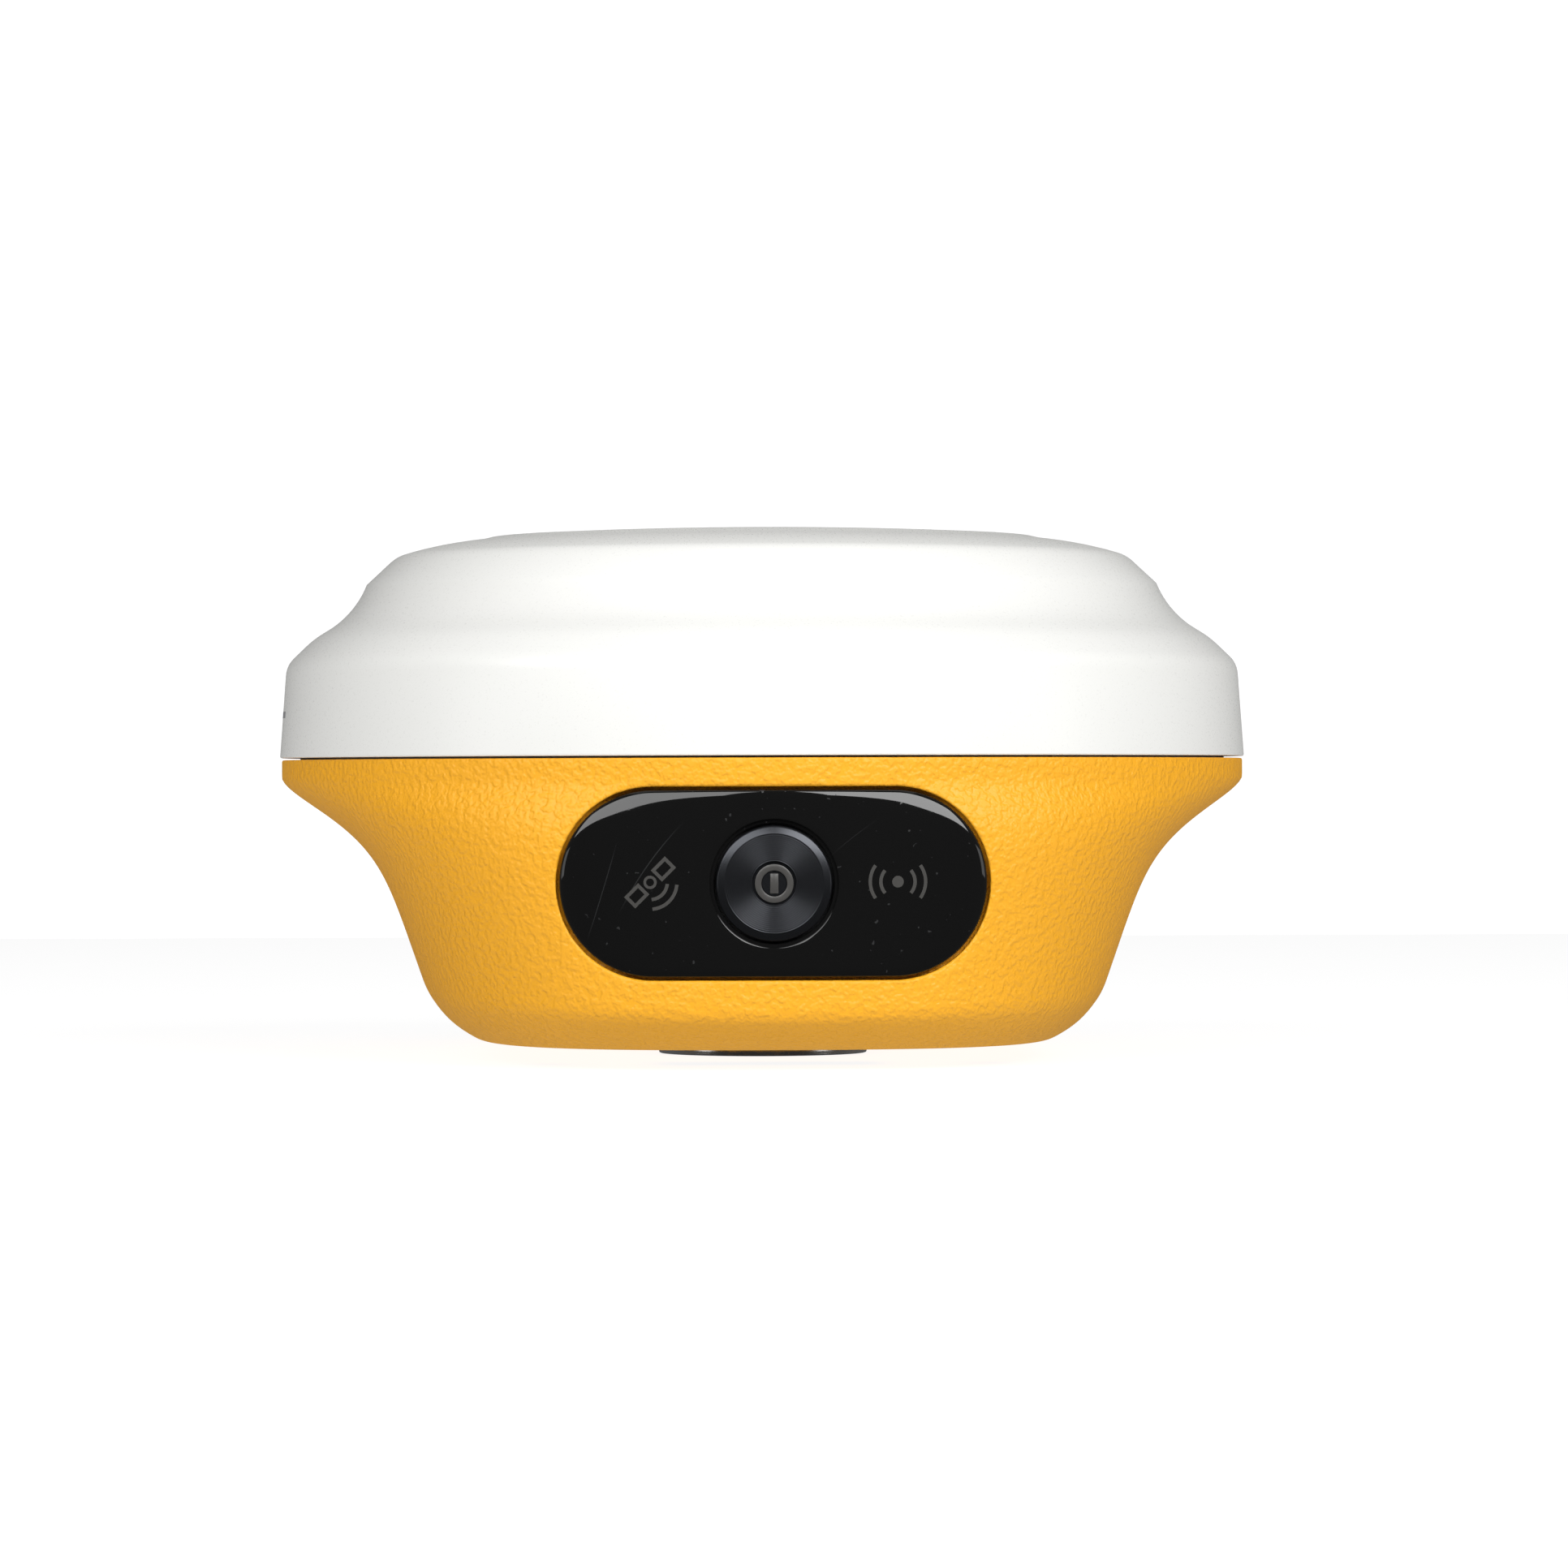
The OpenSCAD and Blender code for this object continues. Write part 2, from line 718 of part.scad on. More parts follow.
module key_board() {
    color("darkgreen") difference() {
        upright(key_board_y, key_board_y + board_t, panel_z)
            rounded(key_board_w, key_board_h, 2);
        for (s = [-1, 1])
            upright(key_board_y - 1, key_board_y + board_t + 1, panel_z, s * key_post_x)
                circle(r = 1.1);
    }
}

module indicator_leds() {
    color("khaki") for (s = [-1, 1])
        upright(key_board_y - 1.2, key_board_y, panel_z, s * pipe_x)
            square([3.2, 2.8], center = true);
}

module light_pipes() {
    color("lightblue") difference() {
        for (s = [-1, 1])
            upright(panel_back - 1, key_board_y - 1.2, panel_z, s * pipe_x) circle(r = 4.6);
        panel_slab(-6, panel_t);
    }
}

module key_board_screws() {
    color("silver") for (s = [-1, 1])
        translate([s * key_post_x, key_board_y + board_t, panel_z])
            rotate([-90, 0, 0]) screw(1.9, 5, 3.8, 1.4);
}

flex_t = 0.3;
flex_w = 12;
module key_flex() {
    y0 = key_board_y + board_t;
    bend = 2;
    color("sienna") translate([flex_w / 2, 0, 0]) rotate([0, -90, 0]) linear_extrude(flex_w) {
        translate([panel_z - 6, y0]) square([board_top - bend - panel_z + 6, flex_t]);
        translate([board_top - bend, y0 + bend + flex_t]) intersection() {
            difference() {
                circle(r = bend + flex_t);
                circle(r = bend);
            }
            translate([0, -bend - flex_t]) square(bend + flex_t);
        }
        translate([board_top, y0 + bend + flex_t])
            square([flex_t, -board_d / 2 + 4 - y0 - bend]);
    }
}

// ---- Boards ----------------------------------------------------------------------
gnss_l = 46;
gnss_z = board_top + 4.4;
gnss_hole_x = gnss_w / 2 - 3.5;
gnss_hole_y = gnss_l / 2 - 3.5;

module at_gnss_holes() {
    for (sx = [-1, 1], sy = [-1, 1])
        translate([sx * gnss_hole_x, sy * gnss_hole_y, 0]) children();
}

// A folded metal can, open below
module can(w, l, h) {
    skin = 0.4;
    difference() {
        translate([-w / 2, -l / 2, 0]) cube([w, l, h]);
        translate([-w / 2 + skin, -l / 2 + skin, -1]) cube([w - 2 * skin, l - 2 * skin, h + 1 - skin]);
    }
}

module main_board() {
    color("darkgreen") translate([0, 0, board_z]) difference() {
        linear_extrude(board_t) {
            circle(d = board_d);
            translate([-tab_w / 2, 0]) square([tab_w, tab_end]);
        }
        at_posts() translate([0, 0, -1]) cylinder(r = 1.3, h = 5);
        at_gnss_holes() translate([0, 0, -1]) cylinder(r = 1, h = 5);
    }
}

module board_standoffs() {
    hex_r = 2.8;
    color("goldenrod") at_posts() difference() {
        union() {
            translate([0, 0, board_top]) cylinder(r = hex_r, h = plate_z - board_top, $fn = 6);
            translate([0, 0, board_z - 6]) cylinder(r = 1.25, h = 6 + board_t + eps);
        }
        translate([0, 0, plate_z - 7]) cylinder(r = 1.25, h = 8);
    }
}

module gnss_board() {
    color("#0b3d5c") translate([0, 0, gnss_z]) difference() {
        linear_extrude(board_t) rounded(gnss_w, gnss_l, 1.5);
        at_gnss_holes() translate([0, 0, -1]) cylinder(r = 1.1, h = 5);
    }
}

module gnss_shield() {
    color("silver") translate([0, 0, gnss_z + board_t]) can(50, 34, 3);
}

module gnss_spacers() {
    color("silver") at_gnss_holes() tube(2.1, 1.1, board_top, gnss_z);
}

module gnss_screws() {
    color("silver") at_gnss_holes() translate([0, 0, gnss_z + board_t])
        screw(2, gnss_z - board_z + board_t, 3.8, 1.3);
}

module radio_module() {
    color("silver") translate([-19, -31, board_top]) can(17, 11, 2.6);
}

module modem_module() {
    color("silver") translate([19, -31, board_top]) can(17, 11, 2.4);
}

module wlan_antenna() {
    color("white") translate([-24, 35, board_top]) translate([-4, -1.5, 0]) cube([8, 3, 1.2]);
}

// ---- Antenna -----------------------------------------------------------------------
pin_upper_r = 9;
pin_lower_r = 18;
feed_r = 0.6;
patch_bolt_r = 1.5;
lower_top = plate_top + lower_patch_h;
upper_top = lower_top + upper_patch_h;

module at_pins(r, from) {
    for (q = [from:90:from + 270]) rotate([0, 0, q]) translate([r, 0, 0]) children();
}

module antenna_holes(lower_pins) {
    at_pins(pin_upper_r, 0) cylinder(r = feed_r, h = 90);
    if (lower_pins) at_pins(pin_lower_r, 45) cylinder(r = feed_r, h = 90);
    cylinder(r = patch_bolt_r, h = 90);
}

module antenna_plate() {
    color("darkgreen") difference() {
        translate([0, 0, plate_z]) cylinder(d = plate_d, h = board_t);
        antenna_holes(true);
        at_posts() cylinder(r = 1.4, h = 90);
    }
}

module antenna_screws() {
    color("silver") at_posts() translate([0, 0, plate_top]) screw(2.5, 6, 4.6, 1.6);
}

module lower_patch() {
    color("ivory") difference() {
        translate([0, 0, plate_top]) cylinder(d = lower_patch_d, h = lower_patch_h);
        antenna_holes(true);
    }
}

module upper_patch() {
    color("ivory") difference() {
        translate([0, 0, lower_top]) cylinder(d = upper_patch_d, h = upper_patch_h);
        antenna_holes(false);
    }
}

module feed_pins() {
    color("goldenrod") {
        at_pins(pin_upper_r, 0) translate([0, 0, plate_z]) cylinder(r = feed_r, h = upper_top - plate_z);
        at_pins(pin_lower_r, 45) translate([0, 0, plate_z])
            cylinder(r = feed_r, h = lower_top - plate_z);
    }
}

module patch_screw() {
    color("white") translate([0, 0, upper_top])
        screw(2 * patch_bolt_r, upper_top - plate_z, 6, 2);
}

amp_w = 40;
amp_h = 4;
module amplifier_shield() {
    color("silver") translate([0, 0, plate_z]) rotate([180, 0, 0]) can(amp_w, amp_w, amp_h);
}

lead_r = 0.9;
lead_bend = 2.5;
lead_x = -amp_w / 2 - 6;
lead_plug_h = 2.5;
lead_plug_r = 2.2;
module quarter_bend(bend, r) {
    rotate([90, 0, 0]) rotate_extrude(angle = 90) translate([bend, 0]) circle(r = r);
}

module antenna_lead() {
    top = plate_z - lead_plug_h;
    foot = gnss_z + board_t + lead_plug_h;
    mid = (top + foot) / 2;
    color("black") {
        translate([lead_x, 0, mid + lead_bend]) cylinder(r = lead_r, h = top - mid - lead_bend);
        translate([lead_x - lead_bend, 0, mid + lead_bend]) mirror([0, 0, 1])
            mirror([0, 1, 0]) quarter_bend(lead_bend, lead_r);
        translate([lead_x - lead_bend, 0, mid - lead_bend]) mirror([1, 0, 0])
            quarter_bend(lead_bend, lead_r);
        translate([lead_x - 2 * lead_bend, 0, foot])
            cylinder(r = lead_r, h = mid - lead_bend - foot);
    }
}

module lead_plugs() {
    color("goldenrod") {
        translate([lead_x, 0, plate_z - lead_plug_h]) cylinder(r = lead_plug_r, h = lead_plug_h);
        translate([lead_x - 2 * lead_bend, 0, gnss_z + board_t])
            cylinder(r = lead_plug_r, h = lead_plug_h);
    }
}

// ---- Battery -------------------------------------------------------------------------
module cell_body(gap, extra) {
    for (s = [-1, 1]) translate([s * cell_x, cell_l / 2 + extra, cell_z])
        rotate([90, 0, 0]) cylinder(r = cell_d / 2 + gap, h = cell_l + 2 * extra);
}

module battery_cells() { color("royalblue") cell_body(0, 0); }

module battery_cradle() {
    x0 = boss_r + 0.4;
    x1 = cell_side - 0.1;
    y1 = cell_l / 2 + 2;
    color("#404040") difference() {
        union() {
            for (s = [-1, 1]) translate([s > 0 ? x0 : -x1, -y1, inner_floor])
                cube([x1 - x0, 2 * y1, cradle_h]);
            for (s = [-1, 1])
                translate([-x1, s > 0 ? y1 - 8 : -y1, inner_floor]) cube([2 * x1, 8, 2.4]);
        }
        cell_body(0.1, 0.2);
    }
}

module battery_strap() {
    color("silver") difference() {
        union() {
            translate([-strap_leg_x - strap_t, -strap_w / 2, strap_z])
                cube([2 * strap_leg_x + 2 * strap_t, strap_w, strap_t]);
            for (s = [-1, 1]) {
                translate([s > 0 ? strap_leg_x : -strap_leg_x - strap_t,
                        -strap_w / 2, strap_post_top])
                    cube([strap_t, strap_w, strap_z - strap_post_top + eps]);
                translate([s > 0 ? strap_leg_x : -strap_leg_x - 6.4,
                        -strap_w / 2, strap_post_top])
                    cube([6.4, strap_w, strap_t]);
            }
        }
        for (s = [-1, 1]) translate([s * strap_post_x, 0, strap_post_top - 1])
            cylinder(r = 1.3, h = 4);
    }
}

module strap_screws() {
    color("silver") for (s = [-1, 1])
        translate([s * strap_post_x, 0, strap_post_top + strap_t]) screw(2.5, 5, 4.2, 1.6);
}

module battery_plug() {
    color("white") translate([-5, plug_y - 2.5, board_z - plug_h]) cube([10, 5, plug_h]);
}

module battery_lead() {
    drop = board_z - plug_h - cell_z - wire_bend;
    color("firebrick") for (s = [0, 1]) mirror([s, 0, 0]) translate([2.4, plug_y, cell_z]) {
        translate([0, 0, wire_bend]) cylinder(r = wire_r, h = drop);
        translate([wire_bend, 0, wire_bend]) mirror([1, 0, 0]) mirror([0, 0, 1])
            mirror([0, 1, 0]) quarter_bend(wire_bend, wire_r);
        translate([wire_bend, 0, 0]) rotate([0, 90, 0])
            cylinder(r = wire_r, h = cell_x - cell_d / 2 - 2.4 - wire_bend);
    }
}

// ---- Ports ---------------------------------------------------------------------------
usb_z = board_top + 1.65;
sim_z = board_z - 0.7;
tub_inner_y = tub_floor + 1.6;

module port_frame() {
    color("#202020") difference() {
        union() {
            upright(bay_floor - flange_t, bay_floor, port_z) rounded(flange_w, flange_h, 3);
            upright(tub_floor, bay_floor, port_z) rounded(tub_w, tub_h, 3);
        }
        upright(tub_inner_y, bay_floor + 1, port_z)
            rounded(tub_w - 2 * tub_wall, tub_h - 2 * tub_wall, 2);
        upright(tub_floor - 1, tub_inner_y + 1, usb_z, usb_x) stadium(9.2, 3.5);
        upright(tub_floor - 1, tub_inner_y + 1, sim_z, sim_x) square([9.8, 1.2], center = true);
    }
}

module usb_shell() {
    back = tub_inner_y - 7.8;
    color("silver") difference() {
        upright(back, tub_inner_y, usb_z, usb_x) stadium(8.94, 3.26);
        upright(back + 1, tub_inner_y + 1, usb_z, usb_x) stadium(8.34, 2.66);
    }
}

module usb_tongue() {
    back = tub_inner_y - 6.8;
    color("#202020") upright(back, tub_inner_y - 1.2, usb_z, usb_x)
        square([6.7, 0.7], center = true);
}

module sim_socket() {
    color("silver") difference() {
        upright(tab_end - 14, tab_end, sim_z, sim_x) square([11, 1.4], center = true);
        upright(tab_end - 12.6, tab_end + 1, sim_z, sim_x) square([9, 0.85], center = true);
    }
}

module sim_card() {
    color("white") upright(tub_inner_y + 1.2 - 12.3, tub_inner_y + 1.2, sim_z, sim_x)
        square([8.8, 0.67], center = true);
}

module port_door() {
    low = hinge_z - port_z;
    color("#2a2a2a") difference() {
        union() {
            upright(door_back, door_face, port_z) difference() {
                rounded(door_w, door_h, 3.7);
                translate([-door_w, low - 20]) square([2 * door_w, 20]);
                for (s = [-1, 1]) translate([s * (hinge_w / 2 + 10), low])
                    square([20, 2 * (ear_top + ear_room)], center = true);
            }
            translate([-hinge_w / 2, hinge_y, hinge_z]) rotate([0, 90, 0])
                cylinder(r = barrel_r, h = hinge_w);
        }
        translate([-hinge_w / 2 - 1, hinge_y, hinge_z]) rotate([0, 90, 0])
            cylinder(r = pin_r + run, h = hinge_w + 2);
        upright(door_face - 1, door_face + 1, port_z + door_h / 2 + 3.4) circle(r = 6);
    }
}

module door_seal() {
    w = tub_w - 2 * tub_wall - 0.8;
    h = tub_h - 2 * tub_wall - 1;
    color("black") upright(door_back - 1, door_back, port_z) difference() {
        rounded(w, h, 2);
        rounded(w - 3, h - 3, 1);
    }
}

module door_pin() {
    color("silver") translate([-hinge_w / 2 - slip - 2.5, hinge_y, hinge_z])
        rotate([0, 90, 0]) cylinder(r = pin_r, h = hinge_w + 2 * slip + 5);
}

radome();
height_mark();
radome_inserts();
main_gasket();
lower_housing();
case_screws();
screw_plugs();
hub_insert();
hub_seal();
hub_screws();
vent_plug();
type_plate();
front_panel();
panel_gasket();
satellite_window();
signal_window();
power_button();
button_icon();
button_guide();
button_seal();
button_clip();
switch_plunger();
switch_body();
key_board();
indicator_leds();
light_pipes();
key_board_screws();
key_flex();
main_board();
board_standoffs();
gnss_board();
gnss_shield();
gnss_spacers();
gnss_screws();
radio_module();
modem_module();
wlan_antenna();
antenna_plate();
antenna_screws();
lower_patch();
upper_patch();
feed_pins();
patch_screw();
amplifier_shield();
antenna_lead();
lead_plugs();
battery_cells();
battery_cradle();
battery_strap();
strap_screws();
battery_lead();
battery_plug();
port_frame();
usb_shell();
usb_tongue();
sim_socket();
sim_card();
port_door();
door_seal();
door_pin();
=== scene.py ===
# %% [markdown]
# # A pole-mount positioning receiver
# The object is a satellite receiver for survey work: a white antenna dome on a deep
# orange housing with pinched sides, a black button panel at the front, a port door at the
# back and a steel thread underneath. The engineering model gives every size, so this
# script starts by loading it and reading the box of each part.

# %% Load the frame
import json
import math

import bmesh
import bpy
import numpy as np
from mathutils import Matrix, Vector

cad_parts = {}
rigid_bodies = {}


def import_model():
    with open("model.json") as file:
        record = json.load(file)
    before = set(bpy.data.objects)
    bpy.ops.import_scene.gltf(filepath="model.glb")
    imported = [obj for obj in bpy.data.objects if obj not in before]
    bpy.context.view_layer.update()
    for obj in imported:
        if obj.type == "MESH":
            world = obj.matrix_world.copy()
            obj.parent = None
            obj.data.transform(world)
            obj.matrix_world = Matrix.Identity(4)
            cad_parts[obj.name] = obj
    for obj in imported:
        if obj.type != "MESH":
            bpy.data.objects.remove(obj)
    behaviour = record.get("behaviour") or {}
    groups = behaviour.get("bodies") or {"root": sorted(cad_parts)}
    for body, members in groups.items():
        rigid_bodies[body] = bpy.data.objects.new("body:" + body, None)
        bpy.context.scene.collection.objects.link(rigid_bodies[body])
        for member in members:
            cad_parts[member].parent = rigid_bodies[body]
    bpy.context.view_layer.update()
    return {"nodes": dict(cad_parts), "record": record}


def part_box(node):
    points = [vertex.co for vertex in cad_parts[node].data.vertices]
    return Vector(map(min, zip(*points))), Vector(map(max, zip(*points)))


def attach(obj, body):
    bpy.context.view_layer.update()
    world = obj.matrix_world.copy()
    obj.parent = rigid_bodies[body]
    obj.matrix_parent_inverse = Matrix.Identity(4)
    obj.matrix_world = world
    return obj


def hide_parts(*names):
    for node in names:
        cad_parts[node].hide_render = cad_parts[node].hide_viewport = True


for leftover in list(bpy.data.objects):
    bpy.data.objects.remove(leftover)
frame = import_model()

# %% [markdown]
# Moulded pieces are easiest to describe as stacked outlines: each outline is a closed ring
# of points, and neighbouring rings are joined by a band of four-sided faces. One small
# class collects the rings and closes the flat ends, and every moulded piece below uses it.
# Work is done in millimetres, as on a maker's drawing, and scaled once at the end.

# %% Rings of points, joined by bands
MM = 0.001
SHARP_EDGE = math.radians(38)


def add_piece(name, mesh, material):
    mesh.materials.clear()
    mesh.materials.append(material)
    piece = bpy.data.objects.new(name, mesh)
    bpy.context.scene.collection.objects.link(piece)
    return piece


def shade(mesh, sharp=SHARP_EDGE):
    mesh.shade_smooth()
    mesh.set_sharp_from_angle(angle=sharp)


def outward(mesh):
    """Turns a closed mesh's faces outwards and counts the edges left open."""
    form = bmesh.new()
    form.from_mesh(mesh)
    bmesh.ops.recalc_face_normals(form, faces=form.faces)
    gaps = sum(len(edge.link_faces) != 2 for edge in form.edges)
    form.to_mesh(mesh)
    form.free()
    return gaps


class Moulding:
    def __init__(self):
        self.points, self.faces, self.flats = [], [], []

    def ring(self, points):
        start = len(self.points)
        self.points += [tuple(map(float, p)) for p in points]
        return list(range(start, len(self.points)))

    def band(self, a, b):
        for i in range(len(a)):
            j = (i + 1) % len(a)
            self.faces.append((a[i], a[j], b[j], b[i]))

    def bands(self, rings):
        for a, b in zip(rings, rings[1:]):
            self.band(a, b)

    def flat(self, *loops):
        """Closes a flat face: the first loop is its edge and any others are holes."""
        self.flats.append(loops)

    def cap(self, *rings):
        """Closes a ring of few points with one face."""
        self.faces += [tuple(ring) for ring in rings]

    def piece(self, name, material, sharp=SHARP_EDGE):
        form = bmesh.new()
        corners = [form.verts.new(Vector(p) * MM) for p in self.points]
        for face in self.faces:
            form.faces.new([corners[i] for i in face])
        for loops in self.flats:
            edges = []
            for loop in loops:
                for i, j in zip(loop, loop[1:] + loop[:1]):
                    pair = (corners[i], corners[j])
                    edges.append(form.edges.get(pair) or form.edges.new(pair))
            bmesh.ops.triangle_fill(form, edges=edges, use_beauty=True, normal=(0, 0, 1))
        mesh = bpy.data.meshes.new(name)
        form.to_mesh(mesh)
        form.free()
        gaps = outward(mesh)
        shade(mesh, sharp)
        print(name, len(mesh.polygons), "faces,", gaps, "open edges")
        return add_piece(name, mesh, material)


# %% [markdown]
# Every surface gets a finish built from nodes. The small bumps and stains read Object
# coordinates, which are real metres here, so a noise scale of 900 means grains of about a
# millimetre. A few helpers keep each recipe short.

# %% Helpers for finishes
def new_finish(name, colour, roughness, metallic=0.0, **sockets):
    material = bpy.data.materials.new(name)
    material.use_nodes = True
    shader = material.node_tree.nodes["Principled BSDF"]
    shader.inputs["Base Color"].default_value = (*colour, 1)
    shader.inputs["Roughness"].default_value = roughness
    shader.inputs["Metallic"].default_value = metallic
    for socket, value in sockets.items():
        shader.inputs[socket.replace("_", " ")].default_value = value
    return material


def add_node(material, kind, links=None, **settings):
    node = material.node_tree.nodes.new(kind)
    for key, value in settings.items():
        if key in node.inputs:
            node.inputs[key].default_value = value
        else:
            setattr(node, key, value)
    for socket, source in (links or {}).items():
        material.node_tree.links.new(source, node.inputs[socket])
    return node


def maths(material, operation, a, b=None):
    """A sum in nodes; each side is either another node's socket or a number."""
    node = add_node(material, "ShaderNodeMath", operation=operation)
    for socket, value in zip(node.inputs, (a, b)):
        if isinstance(value, bpy.types.NodeSocket):
            material.node_tree.links.new(value, socket)
        elif value is not None:
            socket.default_value = value
    return node.outputs[0]


def place(material, stretch=(1, 1, 1)):
    """The piece's own coordinates in metres, stretched along the axes."""
    spot = add_node(material, "ShaderNodeTexCoord")
    mapping = add_node(material, "ShaderNodeMapping", {"Vector": spot.outputs["Object"]})
    mapping.inputs["Scale"].default_value = stretch
    return mapping.outputs["Vector"]


def grain(material, scale, detail=2.0, stretch=(1, 1, 1)):
    node = add_node(material, "ShaderNodeTexNoise", {"Vector": place(material, stretch)})
    node.inputs["Scale"].default_value = scale
    node.inputs["Detail"].default_value = detail
    return node.outputs["Fac"]


def spread(material, factor, low, high, start=0.3, end=0.7):
    """Maps a factor from start..end to low..high."""
    node = add_node(material, "ShaderNodeMapRange", {"Value": factor})
    for socket, value in zip(("From Min", "From Max", "To Min", "To Max"), (start, end, low, high)):
        node.inputs[socket].default_value = value
    return node.outputs["Result"]


def to_shader(material, socket, source):
    shader = material.node_tree.nodes["Principled BSDF"]
    material.node_tree.links.new(source, shader.inputs[socket])


def bumps(material, layers):
    """Stacks bumps; each layer is (height factor, distance in metres, strength)."""
    last = None
    for height, distance, strength in layers:
        node = add_node(material, "ShaderNodeBump", {"Height": height})
        node.inputs["Distance"].default_value = distance
        node.inputs["Strength"].default_value = strength
        if last:
            material.node_tree.links.new(last, node.inputs["Normal"])
        last = node.outputs["Normal"]
    to_shader(material, "Normal", last)


def tint(material, factor, dark, light):
    """Blends two colours by a factor into the base colour."""
    node = add_node(material, "ShaderNodeMix", data_type="RGBA")
    material.node_tree.links.new(factor, node.inputs["Factor"])
    node.inputs["A"].default_value = (*dark, 1)
    node.inputs["B"].default_value = (*light, 1)
    to_shader(material, "Base Color", node.outputs["Result"])


def shade_of(colour, amount):
    return tuple(channel * amount for channel in colour)


# %% [markdown]
# The housing is glass-filled plastic from a spark-eroded mould. Its skin is a soft leather
# grain: wandering pits a millimetre or so wide with a finer grit on top. Two noises feed
# one bump chain, and a third gives the faint cloudiness of thick pigmented plastic.

# %% Orange housing finish
ORANGE = (0.88, 0.405, 0.016)


def leather_orange():
    finish = new_finish("housing_orange", ORANGE, 0.46, Specular_IOR_Level=0.35)
    pits = spread(finish, grain(finish, 1050, 1.0), 0, 1, 0.36, 0.64)
    grit = grain(finish, 2600, 2.0)
    cloud = grain(finish, 40, 3.0)
    bumps(finish, [(pits, 0.00016, 0.8), (grit, 0.00005, 0.35)])
    tint(finish, cloud, shade_of(ORANGE, 0.96), shade_of(ORANGE, 1.03))
    to_shader(finish, "Roughness", spread(finish, pits, 0.40, 0.50, 0, 1))
    return finish


housing_orange = leather_orange()
print(housing_orange.name, "has", len(housing_orange.node_tree.nodes), "nodes")

# %% [markdown]
# The dome has to let radio waves through, so it is plain unpainted plastic, smooth and
# slightly glossy. Only a wide, very shallow waviness and a trace of dust show.

# %% White dome finish
WHITE = (0.82, 0.82, 0.795)


def satin_white():
    finish = new_finish("dome_white", WHITE, 0.3, Specular_IOR_Level=0.45)
    wave = grain(finish, 55, 1.0)
    fine = grain(finish, 3200, 2.0)
    bumps(finish, [(wave, 0.0002, 0.12), (fine, 0.00002, 0.2)])
    tint(finish, grain(finish, 30, 2.0), shade_of(WHITE, 0.985), WHITE)
    to_shader(finish, "Roughness", spread(finish, fine, 0.26, 0.36))
    return finish


dome_white = satin_white()
print(dome_white.name, "has", len(dome_white.node_tree.nodes), "nodes")

# %% [markdown]
# The front panel is gloss black acrylic. New acrylic is almost a mirror, so what makes it
# real is the handling: a few long curved scratches and specks of dust. A scratch is the
# thin zone round an arc where the distance to the arc's centre is close to its radius.

# %% Gloss black panel finish
ACRYLIC, WORN_ACRYLIC = (0.006, 0.006, 0.006), (0.026, 0.026, 0.027)
FADE = 4
SCRATCHES = [((23.8, 0.3), 51.6, (23.0, 36.5), 0.11),
             ((-310.1, 113.3), 298.2, (19.0, 33.5), 0.09),
             ((52.0, -18.0), 66.0, (31.0, 37.0), 0.07)]


def scratch(finish, centre, radius, heights, half_width):
    """One on an arc between two heights, fading to nothing; all in millimetres."""
    spot = add_node(finish, "ShaderNodeVectorMath", {0: place(finish, (1 / MM, 0, 1 / MM))},
                    operation="SUBTRACT")
    spot.inputs[1].default_value = (centre[0], 0, centre[1])
    reach = add_node(finish, "ShaderNodeVectorMath", {0: spot.outputs[0]}, operation="LENGTH")
    gap = maths(finish, "ABSOLUTE", maths(finish, "SUBTRACT", reach.outputs["Value"], radius))
    line = spread(finish, gap, 1, 0, 0, half_width)
    axes = add_node(finish, "ShaderNodeSeparateXYZ", {0: place(finish, (1 / MM, 1 / MM, 1 / MM))})
    low, high = heights
    rise = spread(finish, axes.outputs["Z"], 0, 1, low, low + FADE)
    fall = spread(finish, axes.outputs["Z"], 1, 0, high - FADE, high)
    return maths(finish, "MULTIPLY", line, maths(finish, "MULTIPLY", rise, fall))


def gloss_black():
    finish = new_finish("panel_black", ACRYLIC, 0.045)
    marks = spread(finish, grain(finish, 1500, 0.0), 0, 1, 0.81, 0.86)
    for centre, radius, heights, half_width in SCRATCHES:
        line = scratch(finish, centre, radius, heights, half_width)
        marks = maths(finish, "MAXIMUM", marks, line)
    tint(finish, marks, ACRYLIC, WORN_ACRYLIC)
    to_shader(finish, "Roughness", spread(finish, marks, 0.04, 0.3, 0, 1))
    bumps(finish, [(grain(finish, 35, 1.0), 0.0002, 0.05)])
    return finish


panel_black = gloss_black()
print(panel_black.name, "has", len(SCRATCHES), "scratches")

# %% [markdown]
# The remaining finishes are variations on four recipes: a moulded plastic with a grain, a
# metal with fine tool lines, a metal faced on a lathe, and a circuit board. Each is a
# function with the few values that differ, so every slot of the record has its own finish.

# %% Recipes for plastics, metals and boards
def moulded(name, colour, roughness, grit=2400, depth=0.00004, **sockets):
    finish = new_finish(name, colour, roughness, **sockets)
    fine = grain(finish, grit, 2.0)
    bumps(finish, [(fine, depth, 0.4)])
    to_shader(finish, "Roughness", spread(finish, fine, roughness * 0.88, roughness * 1.12))
    tint(finish, grain(finish, 60, 2.0), shade_of(colour, 0.93), shade_of(colour, 1.05))
    return finish


def machined(name, colour, roughness, stretch=(1, 1, 14), lines=700, depth=0.00002):
    finish = new_finish(name, colour, roughness, 1.0)
    tool = grain(finish, lines, 2.0, stretch)
    bumps(finish, [(tool, depth, 0.5)])
    to_shader(finish, "Roughness", spread(finish, tool, roughness * 0.75, roughness * 1.3))
    tint(finish, grain(finish, 90, 3.0), shade_of(colour, 0.9), colour)
    return finish


